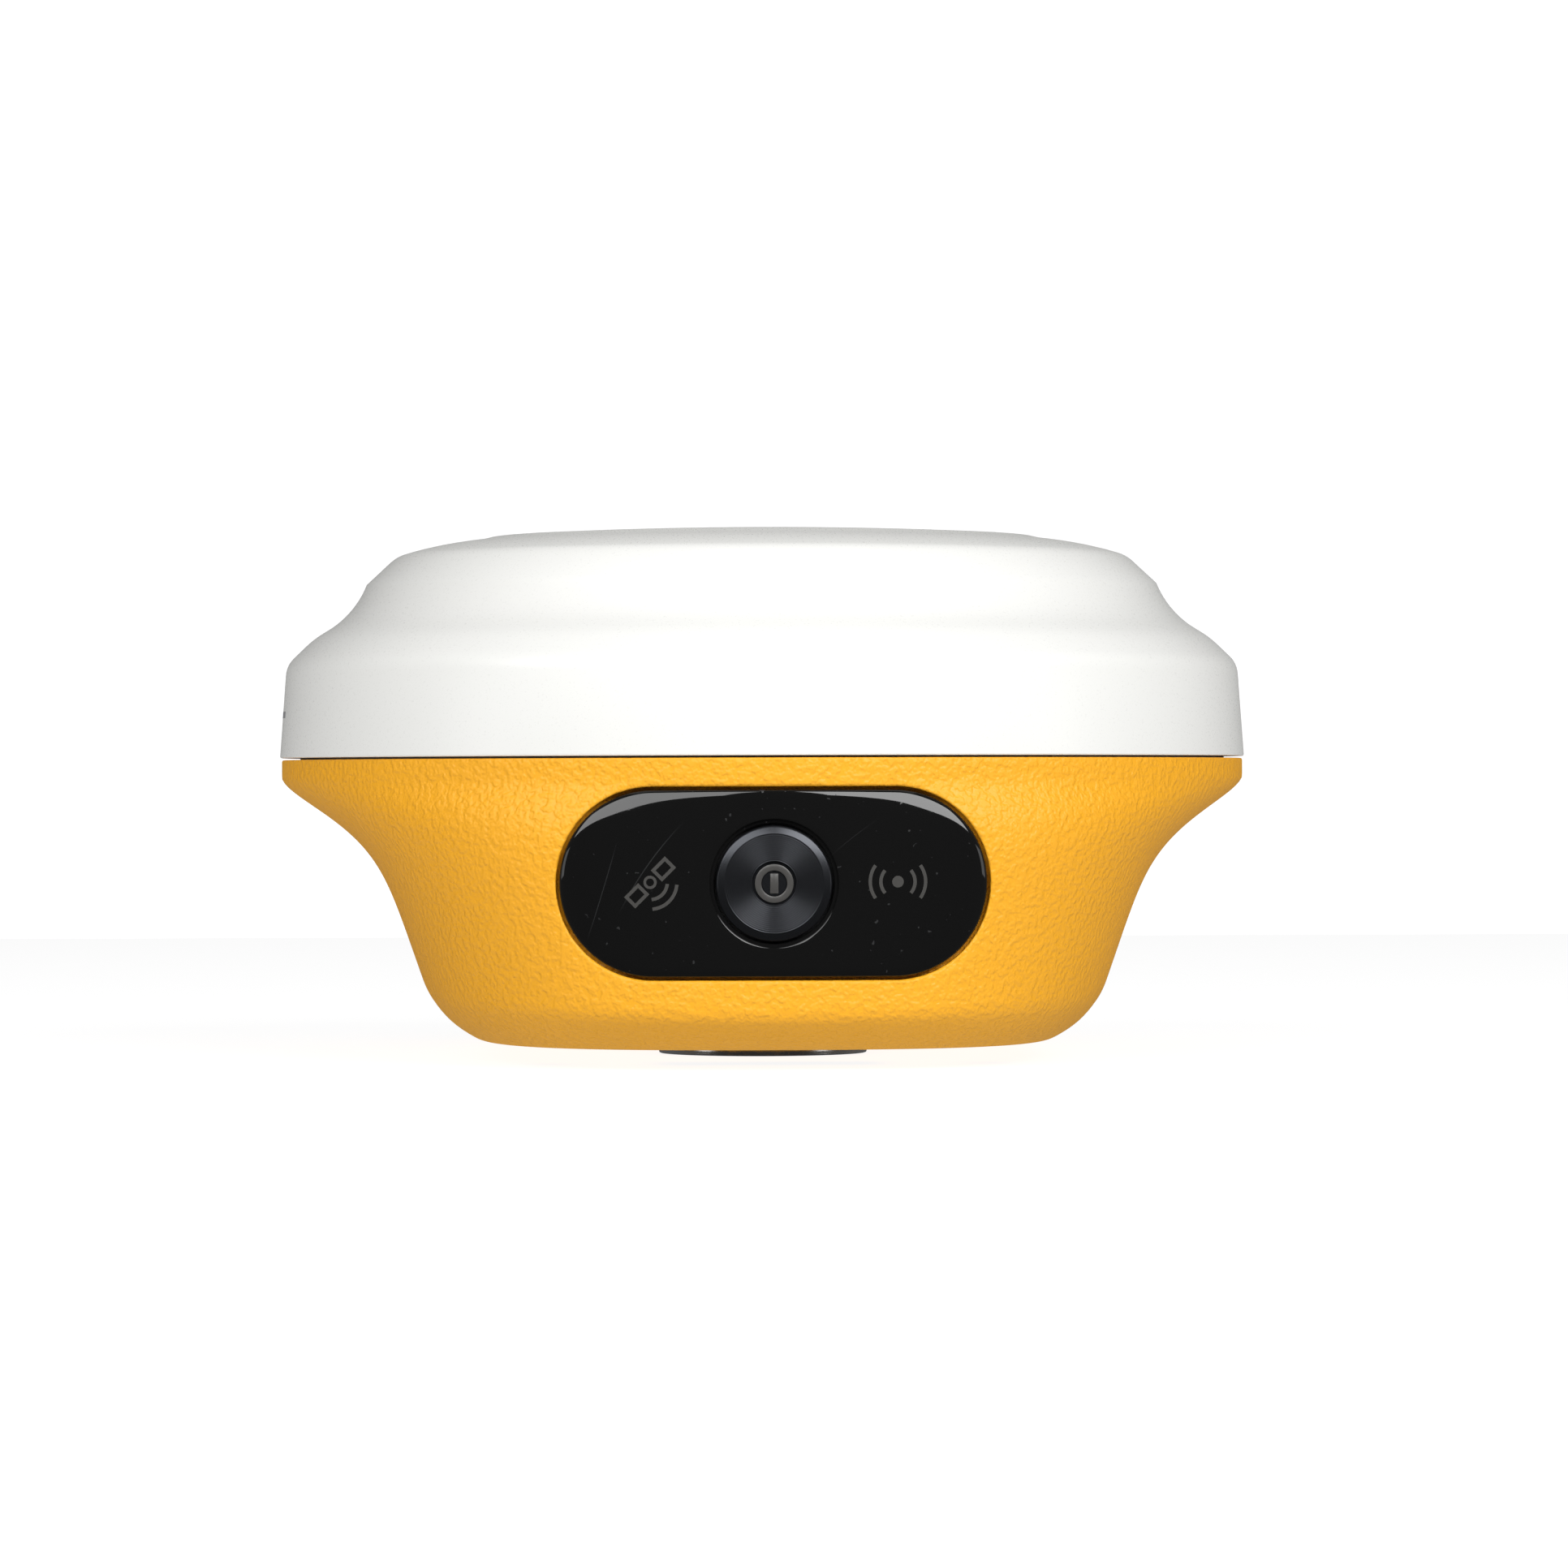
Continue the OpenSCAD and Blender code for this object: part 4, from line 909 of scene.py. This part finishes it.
def dome_section():
    rim = softened([(RIM_R - 0.9, DOME_Z), (rim_r(DOME_Z), DOME_Z), (rim_r(55), 55)], 0.35)
    ridge = softened([(rim_r(55), 55), (RIDGE_R, RIDGE_Z), (69.8, 64.4), COVE_LOW], 1.6, 6)
    cove = arc(COVE_LOW, COVE_HIGH, 14.7)
    bevel = softened([COVE_HIGH, SHOULDER, (54.3, 77.95)], 1.4, 6)
    crown = arc((54.3, 77.95), DISC_FOOT, -60)
    cap = arc(DISC_EDGE, (0, DOME_TOP), -750, 16)
    outside = rim + ridge[1:] + cove[1:] + bevel[1:] + crown[1:] + cap
    inside = softened([(0, 79.1), (41.6, 77.9), (56.0, 74.9), (59.6, 71.6), (64.9, 64.9),
                       (68.4, 62.6), (71.6, 59.4), (72.6, 48.6), (TONGUE_IN, 48.2),
                       (TONGUE_IN, TONGUE_LOW), (TONGUE_OUT, TONGUE_LOW),
                       (TONGUE_OUT, DOME_Z), (RIM_R - 0.9, DOME_Z)], 0.3, 2)
    return outside[::-1], inside


def make_dome():
    outside, inside = dome_section()
    section = outside + inside[::-1][1:]
    return turned("dome", section, dome_white, 300, math.radians(24))


dome = make_dome()
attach(dome, "receiver")
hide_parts("radome")

# %% [markdown]
# A short dash is set into the rim on one side. It marks the height of the antenna's phase
# centre, to which a surveyor measures. It is a thin strip bent round the rim.

# %% The height mark
MARK_LOW, MARK_HIGH = box_mm("height_mark")


def make_height_mark():
    form = Moulding()
    half_turn = math.asin(MARK_HIGH[1] / rim_r(MARK_LOW[2]))
    low, high = MARK_LOW[2], MARK_HIGH[2]
    rings = []
    for turn in np.linspace(math.pi - half_turn, math.pi + half_turn, 25):
        way = np.array([math.cos(turn), math.sin(turn)])
        corners = [(rim_r(z) + proud, z) for proud, z in
                   ((-0.3, low), (0.02, low), (0.02, high), (-0.3, high))]
        rings.append(form.ring([(*(way * r), z) for r, z in corners]))
    form.bands(rings)
    form.cap(rings[0], rings[-1])
    return form.piece("height_line", FINISHES["mark_grey"])


height_line = make_height_mark()
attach(height_line, "receiver")
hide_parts("height_mark")

# %% [markdown]
# The button panel is a racetrack of black acrylic that bends with the wall. Its rim is
# pillowed, and that rounding is what draws the long highlight of a soft light along it. The
# rings run from the button's bore outwards: dish, flat field, pillow, edge and back.

# %% The front panel
PANEL_Y = -wall_y(0, PANEL_Z)
BORE, DISH, DISH_DEEP, DISH_LIP = 8.75, 9.35, 0.6, 0.14
PILLOW, PILLOW_DROP, PILLOW_POWER = 2.2, 0.45, 1.4
AROUND = 320


def racetrack(width, height, count=AROUND):
    """Points (x, z) round a racetrack, evenly spaced and starting at the right."""
    r, run = height / 2, width - height
    length = 2 * run + math.tau * r
    return np.array([racetrack_point(s, r, run) for s in np.arange(count) / count * length])


def racetrack_point(s, r, run):
    """The point at a distance s along the track: quarter, run, half, run, quarter."""
    quarter = math.pi * r / 2
    if s < quarter:
        turn = s / r
        return run / 2 + r * math.cos(turn), r * math.sin(turn)
    s -= quarter
    if s < run:
        return run / 2 - s, r
    s -= run
    if s < 2 * quarter:
        turn = math.pi / 2 + s / r
        return -run / 2 + r * math.cos(turn), r * math.sin(turn)
    s -= 2 * quarter
    if s < run:
        return -run / 2 + s, -r
    turn = -math.pi / 2 + (s - run) / r
    return run / 2 + r * math.cos(turn), r * math.sin(turn)


def disc(r, count=AROUND):
    turn = np.linspace(0, math.tau, count, endpoint=False)
    return np.column_stack([r * np.cos(turn), r * np.sin(turn)])


def make_panel():
    form = Moulding()
    middle = np.array([0, PANEL_Z])

    def on_face(points, depth):
        return form.ring(on_wall(points + middle, depth, -1))

    rings = [on_face(disc(BORE), PANEL_T)]
    rings += [form.ring(at_y(disc(r) + middle, PANEL_Y + y)) for r, y in
              ((BORE, DISH_DEEP + 0.1), (BORE + 0.1, DISH_DEEP), (DISH - 0.08, DISH_DEEP))]
    rings += [on_face(disc(r), depth) for r, depth in
              ((DISH, 0.25), (DISH + 0.03, 0.06), (DISH + DISH_LIP, 0))]
    flat_edge = racetrack(PANEL_W - 2 * PILLOW, PANEL_H - 2 * PILLOW)
    for share in np.linspace(0, 1, 11)[1:]:
        rings.append(on_face(disc(DISH + DISH_LIP) * (1 - share) + flat_edge * share, 0))
    for angle in np.radians(np.arange(1, 13) * 7.5):
        inset = PILLOW * (1 - math.sin(angle))
        drop = PILLOW_DROP * (1 - math.cos(angle)) ** PILLOW_POWER
        outline = racetrack(PANEL_W - 2 * inset, PANEL_H - 2 * inset)
        rings.append(on_face(outline, drop))
    rings.append(on_face(racetrack(PANEL_W, PANEL_H), PANEL_T))
    for share in np.linspace(0, 1, 9)[1:-1]:
        outline = racetrack(PANEL_W, PANEL_H) * (1 - share) + disc(BORE) * share
        rings.append(on_face(outline, PANEL_T))
    form.bands(rings)
    form.band(rings[-1], rings[0])
    return form.piece("panel", panel_black, math.radians(30))


panel = make_panel()
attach(panel, "receiver")
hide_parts("front_panel")

# %% [markdown]
# Two small symbols sit flush in the acrylic and light up: a plain satellite and a dot with
# radio waves. They are drawn with strokes, which are ribbons laid on the wall's surface.
# Circles and arcs are one ribbon each, and the square corners of a frame are mitred.

# %% Strokes laid on the panel
STROKE, STROKE_BACK, STROKE_PROUD = 0.5, 0.4, 0.012


def add_stroke(form, path, width, centre, closed):
    path = np.array(path, float)
    if closed:
        run = np.roll(path, -1, 0) - np.roll(path, 1, 0)
    else:
        run = np.gradient(path, axis=0)
    run /= np.linalg.norm(run, axis=1, keepdims=True)
    side = np.column_stack([-run[:, 1], run[:, 0]]) * width / 2
    sheets = [on_wall(path + centre + side * way, depth, -1) for way, depth in
              ((1, -STROKE_PROUD), (-1, -STROKE_PROUD), (-1, STROKE_BACK), (1, STROKE_BACK))]
    rings = [form.ring(corner) for corner in zip(*sheets)]
    if closed:
        form.bands(rings + [rings[0]])
    else:
        form.bands(rings)
        form.cap(rings[0], rings[-1])


def add_frame(form, width, height, turn, middle, centre):
    """A mitred rectangular frame, turned about the centre of its symbol."""
    rings = []
    for sx, sz in ((1, 1), (-1, 1), (-1, -1), (1, -1)):
        corner = []
        for way, depth in ((0, -STROKE_PROUD), (-1, -STROKE_PROUD),
                           (-1, STROKE_BACK), (0, STROKE_BACK)):
            flat = np.array([sx * (width / 2 + way * STROKE), sz * (height / 2 + way * STROKE)])
            flat = flat + np.array(middle)
            spun = np.array([flat[0] * math.cos(turn) - flat[1] * math.sin(turn),
                             flat[0] * math.sin(turn) + flat[1] * math.cos(turn)])
            corner.append(on_wall((spun + centre)[None], depth, -1)[0])
        rings.append(form.ring(corner))
    form.bands(rings + [rings[0]])


def arc_path(r, start, end):
    turn = np.radians(np.linspace(start, end, 17))
    return np.column_stack([r * np.cos(turn), r * np.sin(turn)])


def add_dot(form, r, centre):
    rings = [form.ring(on_wall(disc(r, 32) + centre, depth, -1))
             for depth in (-STROKE_PROUD, STROKE_BACK)]
    form.bands(rings)
    form.cap(rings[0], rings[-1])


SYMBOL_X, SYMBOL_Z = 18.0, PANEL_Z + 0.2


def make_satellite():
    form = Moulding()
    centre = np.array([-SYMBOL_X, SYMBOL_Z])
    add_stroke(form, disc(0.9 - STROKE / 2 + 0.12, 32), STROKE * 0.8, centre, True)
    for way in (-1, 1):
        add_frame(form, 2.9, 2.3, math.radians(45), (way * 2.75, 0), centre)
    for r in (2.5, 3.9):
        add_stroke(form, arc_path(r, -85, -5), STROKE, centre, False)
    return form.piece("satellite_symbol", FINISHES["icon_grey"])


def make_signal():
    form = Moulding()
    centre = np.array([SYMBOL_X, SYMBOL_Z])
    add_dot(form, 0.85, centre)
    for turn in (0, 180):
        add_stroke(form, arc_path(2.5, turn - 41, turn + 41), STROKE, centre, False)
        add_stroke(form, arc_path(4.05, turn - 36, turn + 36), STROKE, centre, False)
    return form.piece("signal_symbol", FINISHES["icon_grey"])


for symbol, node in ((make_satellite(), "satellite_window"), (make_signal(), "signal_window")):
    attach(symbol, "receiver")
    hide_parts(node)

# %% [markdown]
# The power button is a turned aluminium cap. Its face is cut with fine concentric grooves,
# which throw the fan-shaped glints that spun metal shows, so they are real geometry here.
# The half section is drawn face up and then turned to look forwards.

# %% The power button
button_low, button_high = box_mm("power_button")
CAP_R, CAP_T, STEM_R = 8.45, 1.3, 4.0
CAP_FRONT = button_low[1]
GROOVE_START, GROOVE_END, GROOVE_PITCH, GROOVE_DEEP = 3.25, 7.17, 0.28, 0.045
FORWARDS = Matrix(((1, 0, 0, 0), (0, 0, -1, CAP_FRONT * MM),
                   (0, 1, 0, PANEL_Z * MM), (0, 0, 0, 1)))


def cap_section():
    well = [(0, -0.3), (1.78, -0.3), (1.82, -0.55), (2.83, -0.55), (2.87, -0.42), (3.12, -0.42),
            (3.2, -0.04)]
    grooves = []
    for k in range(round((GROOVE_END - GROOVE_START) / GROOVE_PITCH)):
        r = GROOVE_START + k * GROOVE_PITCH
        grooves += [(r + share * GROOVE_PITCH, -deep) for share, deep in
                    ((0, 0), (0.3, 0.01), (0.62, GROOVE_DEEP), (0.82, GROOVE_DEEP))]
    stem_end = CAP_FRONT - button_high[1]
    rim = softened([(GROOVE_END, 0), (GROOVE_END + 0.1, 0), (8.25, -0.36), (CAP_R, -0.62),
                    (CAP_R, -CAP_T), (STEM_R, -CAP_T), (STEM_R, stem_end), (0, stem_end)], 0.14, 4)
    return well + grooves + rim


button = turned("button_cap", cap_section(), FINISHES["button_black"], 192, math.radians(50),
                FORWARDS)
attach(button, "button")
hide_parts("power_button")

# %% [markdown]
# Round the centre of the cap lies a ring of smoky plastic with a short bar across it, the
# plain sign for power. The ring is turned with the same tree and the bar is a small pillow.

# %% The power sign
def make_power_sign():
    ring = turned_mesh([(1.85, -0.3), (1.9, -0.12), (2.05, -0.06), (2.65, -0.06), (2.8, -0.12),
                        (2.82, -0.5), (1.85, -0.5), (1.85, -0.3)], FINISHES["icon_grey"], 96)
    form = Moulding()
    outline = ((0.6, 1.45), (-0.6, 1.45), (-0.6, -1.45), (0.6, -1.45))
    rings = [form.ring([(x * grow, z - math.copysign(inset, z), lift) for x, z in outline])
             for grow, inset, lift in ((1, 0, -0.4), (1, 0, -0.16), (0.85, 0.09, -0.1))]
    form.bands(rings)
    form.cap(rings[0], rings[-1])
    bar = form.piece("bar", FINISHES["icon_grey"])
    joined = bmesh.new()
    joined.from_mesh(ring)
    joined.from_mesh(bar.data)
    mesh = bpy.data.meshes.new("power_sign")
    joined.to_mesh(mesh)
    joined.free()
    bpy.data.objects.remove(bar)
    mesh.transform(FORWARDS)
    shade(mesh)
    return add_piece("power_sign", mesh, FINISHES["icon_grey"])


power_sign = make_power_sign()
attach(power_sign, "button")
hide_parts("button_icon")

# %% [markdown]
# Underneath is the steel seat with the pole thread. A thread is a rule too: the bore's radius
# rises and falls with height and slips by one pitch for each turn. Every ring of the bore
# has its own radii, and the rest of the insert is a stack of plain circles.

# %% The pole thread
seat_high = box_mm("hub_insert")[1]
SEAT_R, SEAT_T, BODY_R, BODY_TOP = seat_high[0], 2.3, 10.49, seat_high[2]
THREAD_R, THREAD_ROOT, THREAD_PITCH, THREAD_TOP = 6.82, 7.9, 25.4 / 11, 17.0
THREAD_MOUTH, THREAD_POINTS, THREAD_RINGS = 0.9, 96, 150


def thread_ring(z):
    turn = np.linspace(0, math.tau, THREAD_POINTS, endpoint=False)
    phase = (z / THREAD_PITCH - turn / math.tau) % 1
    ramp = np.clip((np.abs(phase - 0.5) - 0.06) / 0.38, 0, 1)
    fade = np.clip((z - 0.3) / 0.9, 0, 1) * np.clip((THREAD_TOP - z) / 1.2, 0, 1)
    r = THREAD_R + (THREAD_ROOT - THREAD_R) * ramp * fade
    r = r + THREAD_MOUTH * np.clip(1 - z / THREAD_MOUTH, 0, 1)
    return np.column_stack([r * np.cos(turn), r * np.sin(turn), z + 0 * turn])


def make_seat():
    form = Moulding()
    levels = np.linspace(0, THREAD_TOP, THREAD_RINGS)
    bore = [form.ring(thread_ring(z)) for z in levels[::-1]]
    outside = [form.ring(circle(r, 0, 0, z, THREAD_POINTS)) for r, z in
               ((8.2, 0), (15.6, 0), (SEAT_R - 0.3, 0), (SEAT_R - 0.08, 0.08), (SEAT_R, 0.3),
                (SEAT_R - 0.4, SEAT_T - 0.1), (SEAT_R - 0.5, SEAT_T), (BODY_R, SEAT_T),
                (BODY_R, BODY_TOP - 0.4), (10.1, BODY_TOP))]
    form.bands(bore + outside)
    form.flat(bore[0])
    form.flat(outside[-1])
    return form.piece("pole_seat", FINISHES["seat_steel"], math.radians(32))


pole_seat = make_seat()
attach(pole_seat, "receiver")
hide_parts("hub_insert")

# %% [markdown]
# Four rubber plugs close the screw wells. They repeat, so Geometry Nodes places copies of one
# turned plug on four points and then makes the copies real.

# %% Repeating a piece on points
def make_copy_tree():
    tree, sockets = new_tree("copies on points", Geometry="Geometry", Pattern="Object", Finish="Material")
    nodes = tree.nodes
    given, result = nodes.new("NodeGroupInput"), nodes.new("NodeGroupOutput")
    pattern = nodes.new("GeometryNodeObjectInfo")
    copies = nodes.new("GeometryNodeInstanceOnPoints")
    real = nodes.new("GeometryNodeRealizeInstances")
    coat = nodes.new("GeometryNodeSetMaterial")
    for source, target in (
        (given.outputs["Pattern"], pattern.inputs["Object"]),
        (given.outputs["Geometry"], copies.inputs["Points"]),
        (pattern.outputs["Geometry"], copies.inputs["Instance"]),
        (copies.outputs["Instances"], real.inputs["Geometry"]),
        (real.outputs["Geometry"], coat.inputs["Geometry"]),
        (given.outputs["Finish"], coat.inputs["Material"]),
        (coat.outputs["Geometry"], result.inputs["Geometry"]),
    ):
        tree.links.new(source, target)
    return tree, sockets


COPYING, COPYING_SOCKETS = make_copy_tree()


def copied(name, pattern, spots, finish):
    """Copies of a pattern object at spots (x, y, z) in millimetres, as one piece."""
    points = bpy.data.meshes.new("spots")
    points.from_pydata([tuple(value * MM for value in spot) for spot in spots], [], [])
    blank = add_piece("spots", points, finish)
    mesh = baked(blank, COPYING, {COPYING_SOCKETS["Pattern"]: pattern,
                                  COPYING_SOCKETS["Finish"]: finish})
    bpy.data.objects.remove(blank)
    bpy.data.objects.remove(pattern)
    outward(mesh)
    shade(mesh)
    print(name, "is", len(spots), "copies,", len(mesh.polygons), "faces")
    return add_piece(name, mesh, finish)


PLUG_R, PLUG_L = 3.17, 5.0
plug_section = softened([(0, 0.45), (1.1, 0.45), (1.3, 0), (PLUG_R, 0), (PLUG_R, PLUG_L), (0, PLUG_L)],
                        0.35)
plug = turned("plug", plug_section, FINISHES["seal_black"], 40)
plugs = copied("well_plugs", plug, [(x, y, FLOOR_Z) for x, y in TOWERS], FINISHES["seal_black"])
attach(plugs, "receiver")
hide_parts("screw_plugs")

# %% [markdown]
# The port door is a small moulded lid with rounded edges, a barrel along its lower edge and a
# thumb scoop at the top. The lid is a stack of shrinking outlines, with its lower corners
# cut back for the ears.

# %% The lid of the port door
def door_outline(corner=3.7, steps=10):
    """The lid's outline (x, z), anticlockwise, with its lower corners cut for the ears."""
    half, low, high = DOOR_W / 2, HINGE_Z - PORT_Z, DOOR_H / 2
    step = low + EAR_TOP + EAR_ROOM
    right = [(HINGE_W / 2, low), (HINGE_W / 2, step), (half, step)]
    turn = np.linspace(0, math.pi / 2, steps)
    right += [(half + corner * (math.cos(t) - 1), high + corner * (math.sin(t) - 1)) for t in turn]
    return np.array(right + [(-x, z) for x, z in right[::-1]]) + np.array([0, PORT_Z])


def shrunk(outline, inset):
    """An outline moved inwards by the same distance on every side."""
    before, after = np.roll(outline, 1, 0), np.roll(outline, -1, 0)
    a = (outline - before) / np.linalg.norm(outline - before, axis=1, keepdims=True)
    b = (after - outline) / np.linalg.norm(after - outline, axis=1, keepdims=True)
    inwards = np.column_stack([-(a + b)[:, 1], (a + b)[:, 0]])
    share = 1 + np.sum(a * b, axis=1, keepdims=True)
    return outline + inset * inwards / share


def make_lid():
    form = Moulding()
    outline = door_outline()
    rings = [form.ring(at_y(shrunk(outline, inset), y)) for inset, y in
             ((0.25, DOOR_BACK), (0, DOOR_BACK + 0.25), (0, DOOR_FACE - 0.7),
              (0.07, DOOR_FACE - 0.35), (0.25, DOOR_FACE - 0.1), (0.55, DOOR_FACE))]
    form.bands(rings)
    form.cap(rings[0], rings[-1])
    return form.piece("door_lid", FINISHES["door_black"], math.radians(35))


lid = make_lid()

# %% [markdown]
# The barrel and the scoop's cutter come from the turning tree, each with a matrix that lays
# it along the hinge or points it backwards. The grip is one small rib, copied four times.

# %% Barrel, scoop and grip of the door
ALONG_X = Matrix(((0, 0, 1, 0), (0, 1, 0, HINGE_Y * MM), (-1, 0, 0, HINGE_Z * MM), (0, 0, 0, 1)))
SCOOP_Z = PORT_Z + DOOR_H / 2 + 3.4
BACKWARDS = Matrix(((1, 0, 0, 0), (0, 0, 1, DOOR_FACE * MM), (0, -1, 0, SCOOP_Z * MM), (0, 0, 0, 1)))
BARREL_END = HINGE_W / 2
barrel_section = softened([(0, -BARREL_END), (BARREL_R, -BARREL_END), (BARREL_R, BARREL_END),
                           (0, BARREL_END)], 0.2)
barrel = turned("door_barrel", barrel_section, FINISHES["door_black"], 40, matrix=ALONG_X)
scoop_section = [(0, 1), (6.4, 1), (6.0, -0.6), (5.5, -1), (0, -1)]
cutter = turned("scoop", scoop_section, FINISHES["door_black"], 64, matrix=BACKWARDS)


def cut_and_join(name, body, tool, extra, finish):
    """Cuts a tool's shape out of a body and adds further meshes to the result."""
    modifier = body.modifiers.new("scoop", "BOOLEAN")
    modifier.operation, modifier.object, modifier.solver = "DIFFERENCE", tool, "EXACT"
    whole = body.evaluated_get(bpy.context.evaluated_depsgraph_get())
    cut = bpy.data.meshes.new_from_object(whole)
    joined = bmesh.new()
    joined.from_mesh(cut)
    for mesh in extra:
        joined.from_mesh(mesh)
    mesh = bpy.data.meshes.new(name)
    joined.to_mesh(mesh)
    joined.free()
    shade(mesh, math.radians(35))
    return add_piece(name, mesh, finish)


RIB_W, RIB_T, RIB_PITCH, RIBS = 7.2, 0.44, 0.95, 4


def make_rib():
    form = Moulding()
    outline = [(x * RIB_W / 2, z * RIB_T / 2) for x, z in ((1, 1), (-1, 1), (-1, -1), (1, -1))]
    rings = [form.ring([(x * grow, lift, z * thin) for x, z in outline])
             for grow, thin, lift in ((1, 1, -0.3), (1, 1, 0.02), (0.97, 0.6, 0.1))]
    form.bands(rings)
    form.cap(rings[0], rings[-1])
    return form.piece("rib", FINISHES["door_black"])


rib_spots = [(0, DOOR_FACE - 0.1, PORT_Z + 2.8 - k * RIB_PITCH) for k in range(RIBS)]
ribs = copied("grip_ribs", make_rib(), rib_spots, FINISHES["door_black"])
door = cut_and_join("door", lid, cutter, [barrel.data, ribs.data], FINISHES["door_black"])
for spare in (lid, barrel, cutter, ribs):
    bpy.data.objects.remove(spare)
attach(door, "port_door")
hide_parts("port_door")

# %% [markdown]
# The set is a glowing pale floor in a white room, as on a light table, so the object seems to
# stand in plain white. The room behind the camera is dark, because glossy black acrylic
# mirrors whatever is there.

# %% Floor
FLOOR_HALF, FLOOR_GLOW = 800, 0.9


def make_floor():
    form = Moulding()
    edge = form.ring([(x * FLOOR_HALF, y * FLOOR_HALF, 0) for x, y in
                      ((-1, -1), (1, -1), (1, 1), (-1, 1))])
    form.cap(edge)
    pale = new_finish("pale_floor", (0.15, 0.15, 0.15), 0.9, Emission_Color=(1, 1, 1, 1),
                      Emission_Strength=FLOOR_GLOW)
    to_shader(pale, "Roughness", spread(pale, grain(pale, 30), 0.85, 0.95))
    piece = form.piece("floor", pale)
    piece.visible_glossy = piece.visible_diffuse = False
    return piece


floor = make_floor()

# %% [markdown]
# The room is a world with a strength for each direction. Behind the camera it is nearly
# dark, and only matt surfaces get the white light that a light table throws up from below.

# %% The room
def make_room(front, back, seen):
    """A world of three strengths: in front, behind, and as the camera sees it.

    Matt surfaces also get white light from below, which mirrors and gloss leave out.
    """
    world = bpy.data.worlds.new("studio")
    bpy.context.scene.world = world
    world.use_nodes = True
    nodes, links = world.node_tree.nodes, world.node_tree.links
    ray = nodes.new("ShaderNodeLightPath")
    way = nodes.new("ShaderNodeTexCoord")
    axes = nodes.new("ShaderNodeSeparateXYZ")
    links.new(way.outputs["Generated"], axes.inputs["Vector"])

    def blend(axis, start, end, low, high):
        node = nodes.new("ShaderNodeMapRange")
        links.new(axes.outputs[axis], node.inputs["Value"])
        for socket, value in zip(("From Min", "From Max", "To Min", "To Max"), (start, end, low, high)):
            node.inputs[socket].default_value = value
        return node

    depth = blend("Y", -0.75, 0.5, front, back)
    lift = blend("Z", -0.1, -0.5, 0, 1)
    links.new(ray.outputs["Is Diffuse Ray"], lift.inputs["To Max"])
    both = nodes.new("ShaderNodeMath")
    both.operation = "ADD"
    links.new(depth.outputs["Result"], both.inputs[0])
    links.new(lift.outputs["Result"], both.inputs[1])
    pick = nodes.new("ShaderNodeMix")
    links.new(ray.outputs["Is Camera Ray"], pick.inputs["Factor"])
    links.new(both.outputs[0], pick.inputs["A"])
    pick.inputs["B"].default_value = seen
    links.new(pick.outputs["Result"], nodes["Background"].inputs["Strength"])
    nodes["Background"].inputs["Color"].default_value = (1, 1, 1, 1)


make_room(0.03, 0.12, 1.1)
print("world", bpy.context.scene.world.name)

# %% [markdown]
# Two large soft lights stand left and right of the camera, high enough to miss the flat of
# the panel, and a weak one hangs overhead. Two small ones near the floor give the steel
# seat something to reflect.

# %% Lights
MIDDLE = Vector((0, 0, 0.045))


def soft_light(name, turn, height, distance, width, tall, power):
    """A rectangular light aimed at the object from a compass turn and height in degrees."""
    light = bpy.data.lights.new(name, "AREA")
    light.shape, light.size, light.size_y, light.energy = "RECTANGLE", width, tall, power
    lamp = bpy.data.objects.new(name, light)
    bpy.context.scene.collection.objects.link(lamp)
    turn, height = math.radians(turn), math.radians(height)
    out = Vector((math.sin(turn) * math.cos(height), -math.cos(turn) * math.cos(height),
                  math.sin(height)))
    lamp.location = out * distance + MIDDLE
    lamp.rotation_euler = (-out).to_track_quat("-Z", "Y").to_euler()


soft_light("right_box", 35, 31, 1.2, 1.0, 0.5, 11.8)
soft_light("left_box", -35, 31, 1.2, 1.2, 0.55, 9.6)
soft_light("top_box", 4, 76, 1.0, 1.1, 0.6, 0.9)
soft_light("right_low", 68, 2, 1.2, 0.35, 0.3, 0.5)
soft_light("left_low", -68, 2, 1.2, 0.35, 0.3, 0.5)
bpy.context.scene.view_settings.view_transform = "Standard"
bpy.context.scene.view_settings.look = "None"
print(len(bpy.data.lights), "lights")

# %% [markdown]
# The camera stands level with the middle of the object, just over a metre away, with a long
# lens. It is a touch to the left of straight ahead, so the button sits slightly right of the
# dome's middle.

# %% Camera
LENS_WIDTH, VIEW_WIDTH, DISTANCE = 36.0, 244.6, 1054.5
CAMERA_TURN, CAMERA_ROLL = math.radians(1.5), math.radians(0.15)
CAMERA_HEIGHT, CAMERA_SIDE = 41.9, 3.4


def make_camera():
    camera = bpy.data.cameras.new("camera")
    camera.sensor_width = LENS_WIDTH
    camera.lens = LENS_WIDTH * DISTANCE / VIEW_WIDTH
    camera.clip_end = 20
    stand = bpy.data.objects.new("camera", camera)
    bpy.context.scene.collection.objects.link(stand)
    out = Vector((-math.sin(CAMERA_TURN), -math.cos(CAMERA_TURN), 0))
    right = Vector((math.cos(CAMERA_TURN), -math.sin(CAMERA_TURN), 0))
    stand.location = (out * DISTANCE + right * CAMERA_SIDE + Vector((0, 0, CAMERA_HEIGHT))) * MM
    aim = (-out).to_track_quat("-Z", "Y").to_matrix() @ Matrix.Rotation(-CAMERA_ROLL, 3, "Z")
    stand.rotation_euler = aim.to_euler()
    bpy.context.scene.camera = stand
    return camera


camera = make_camera()
print("lens", round(camera.lens, 1), "mm")
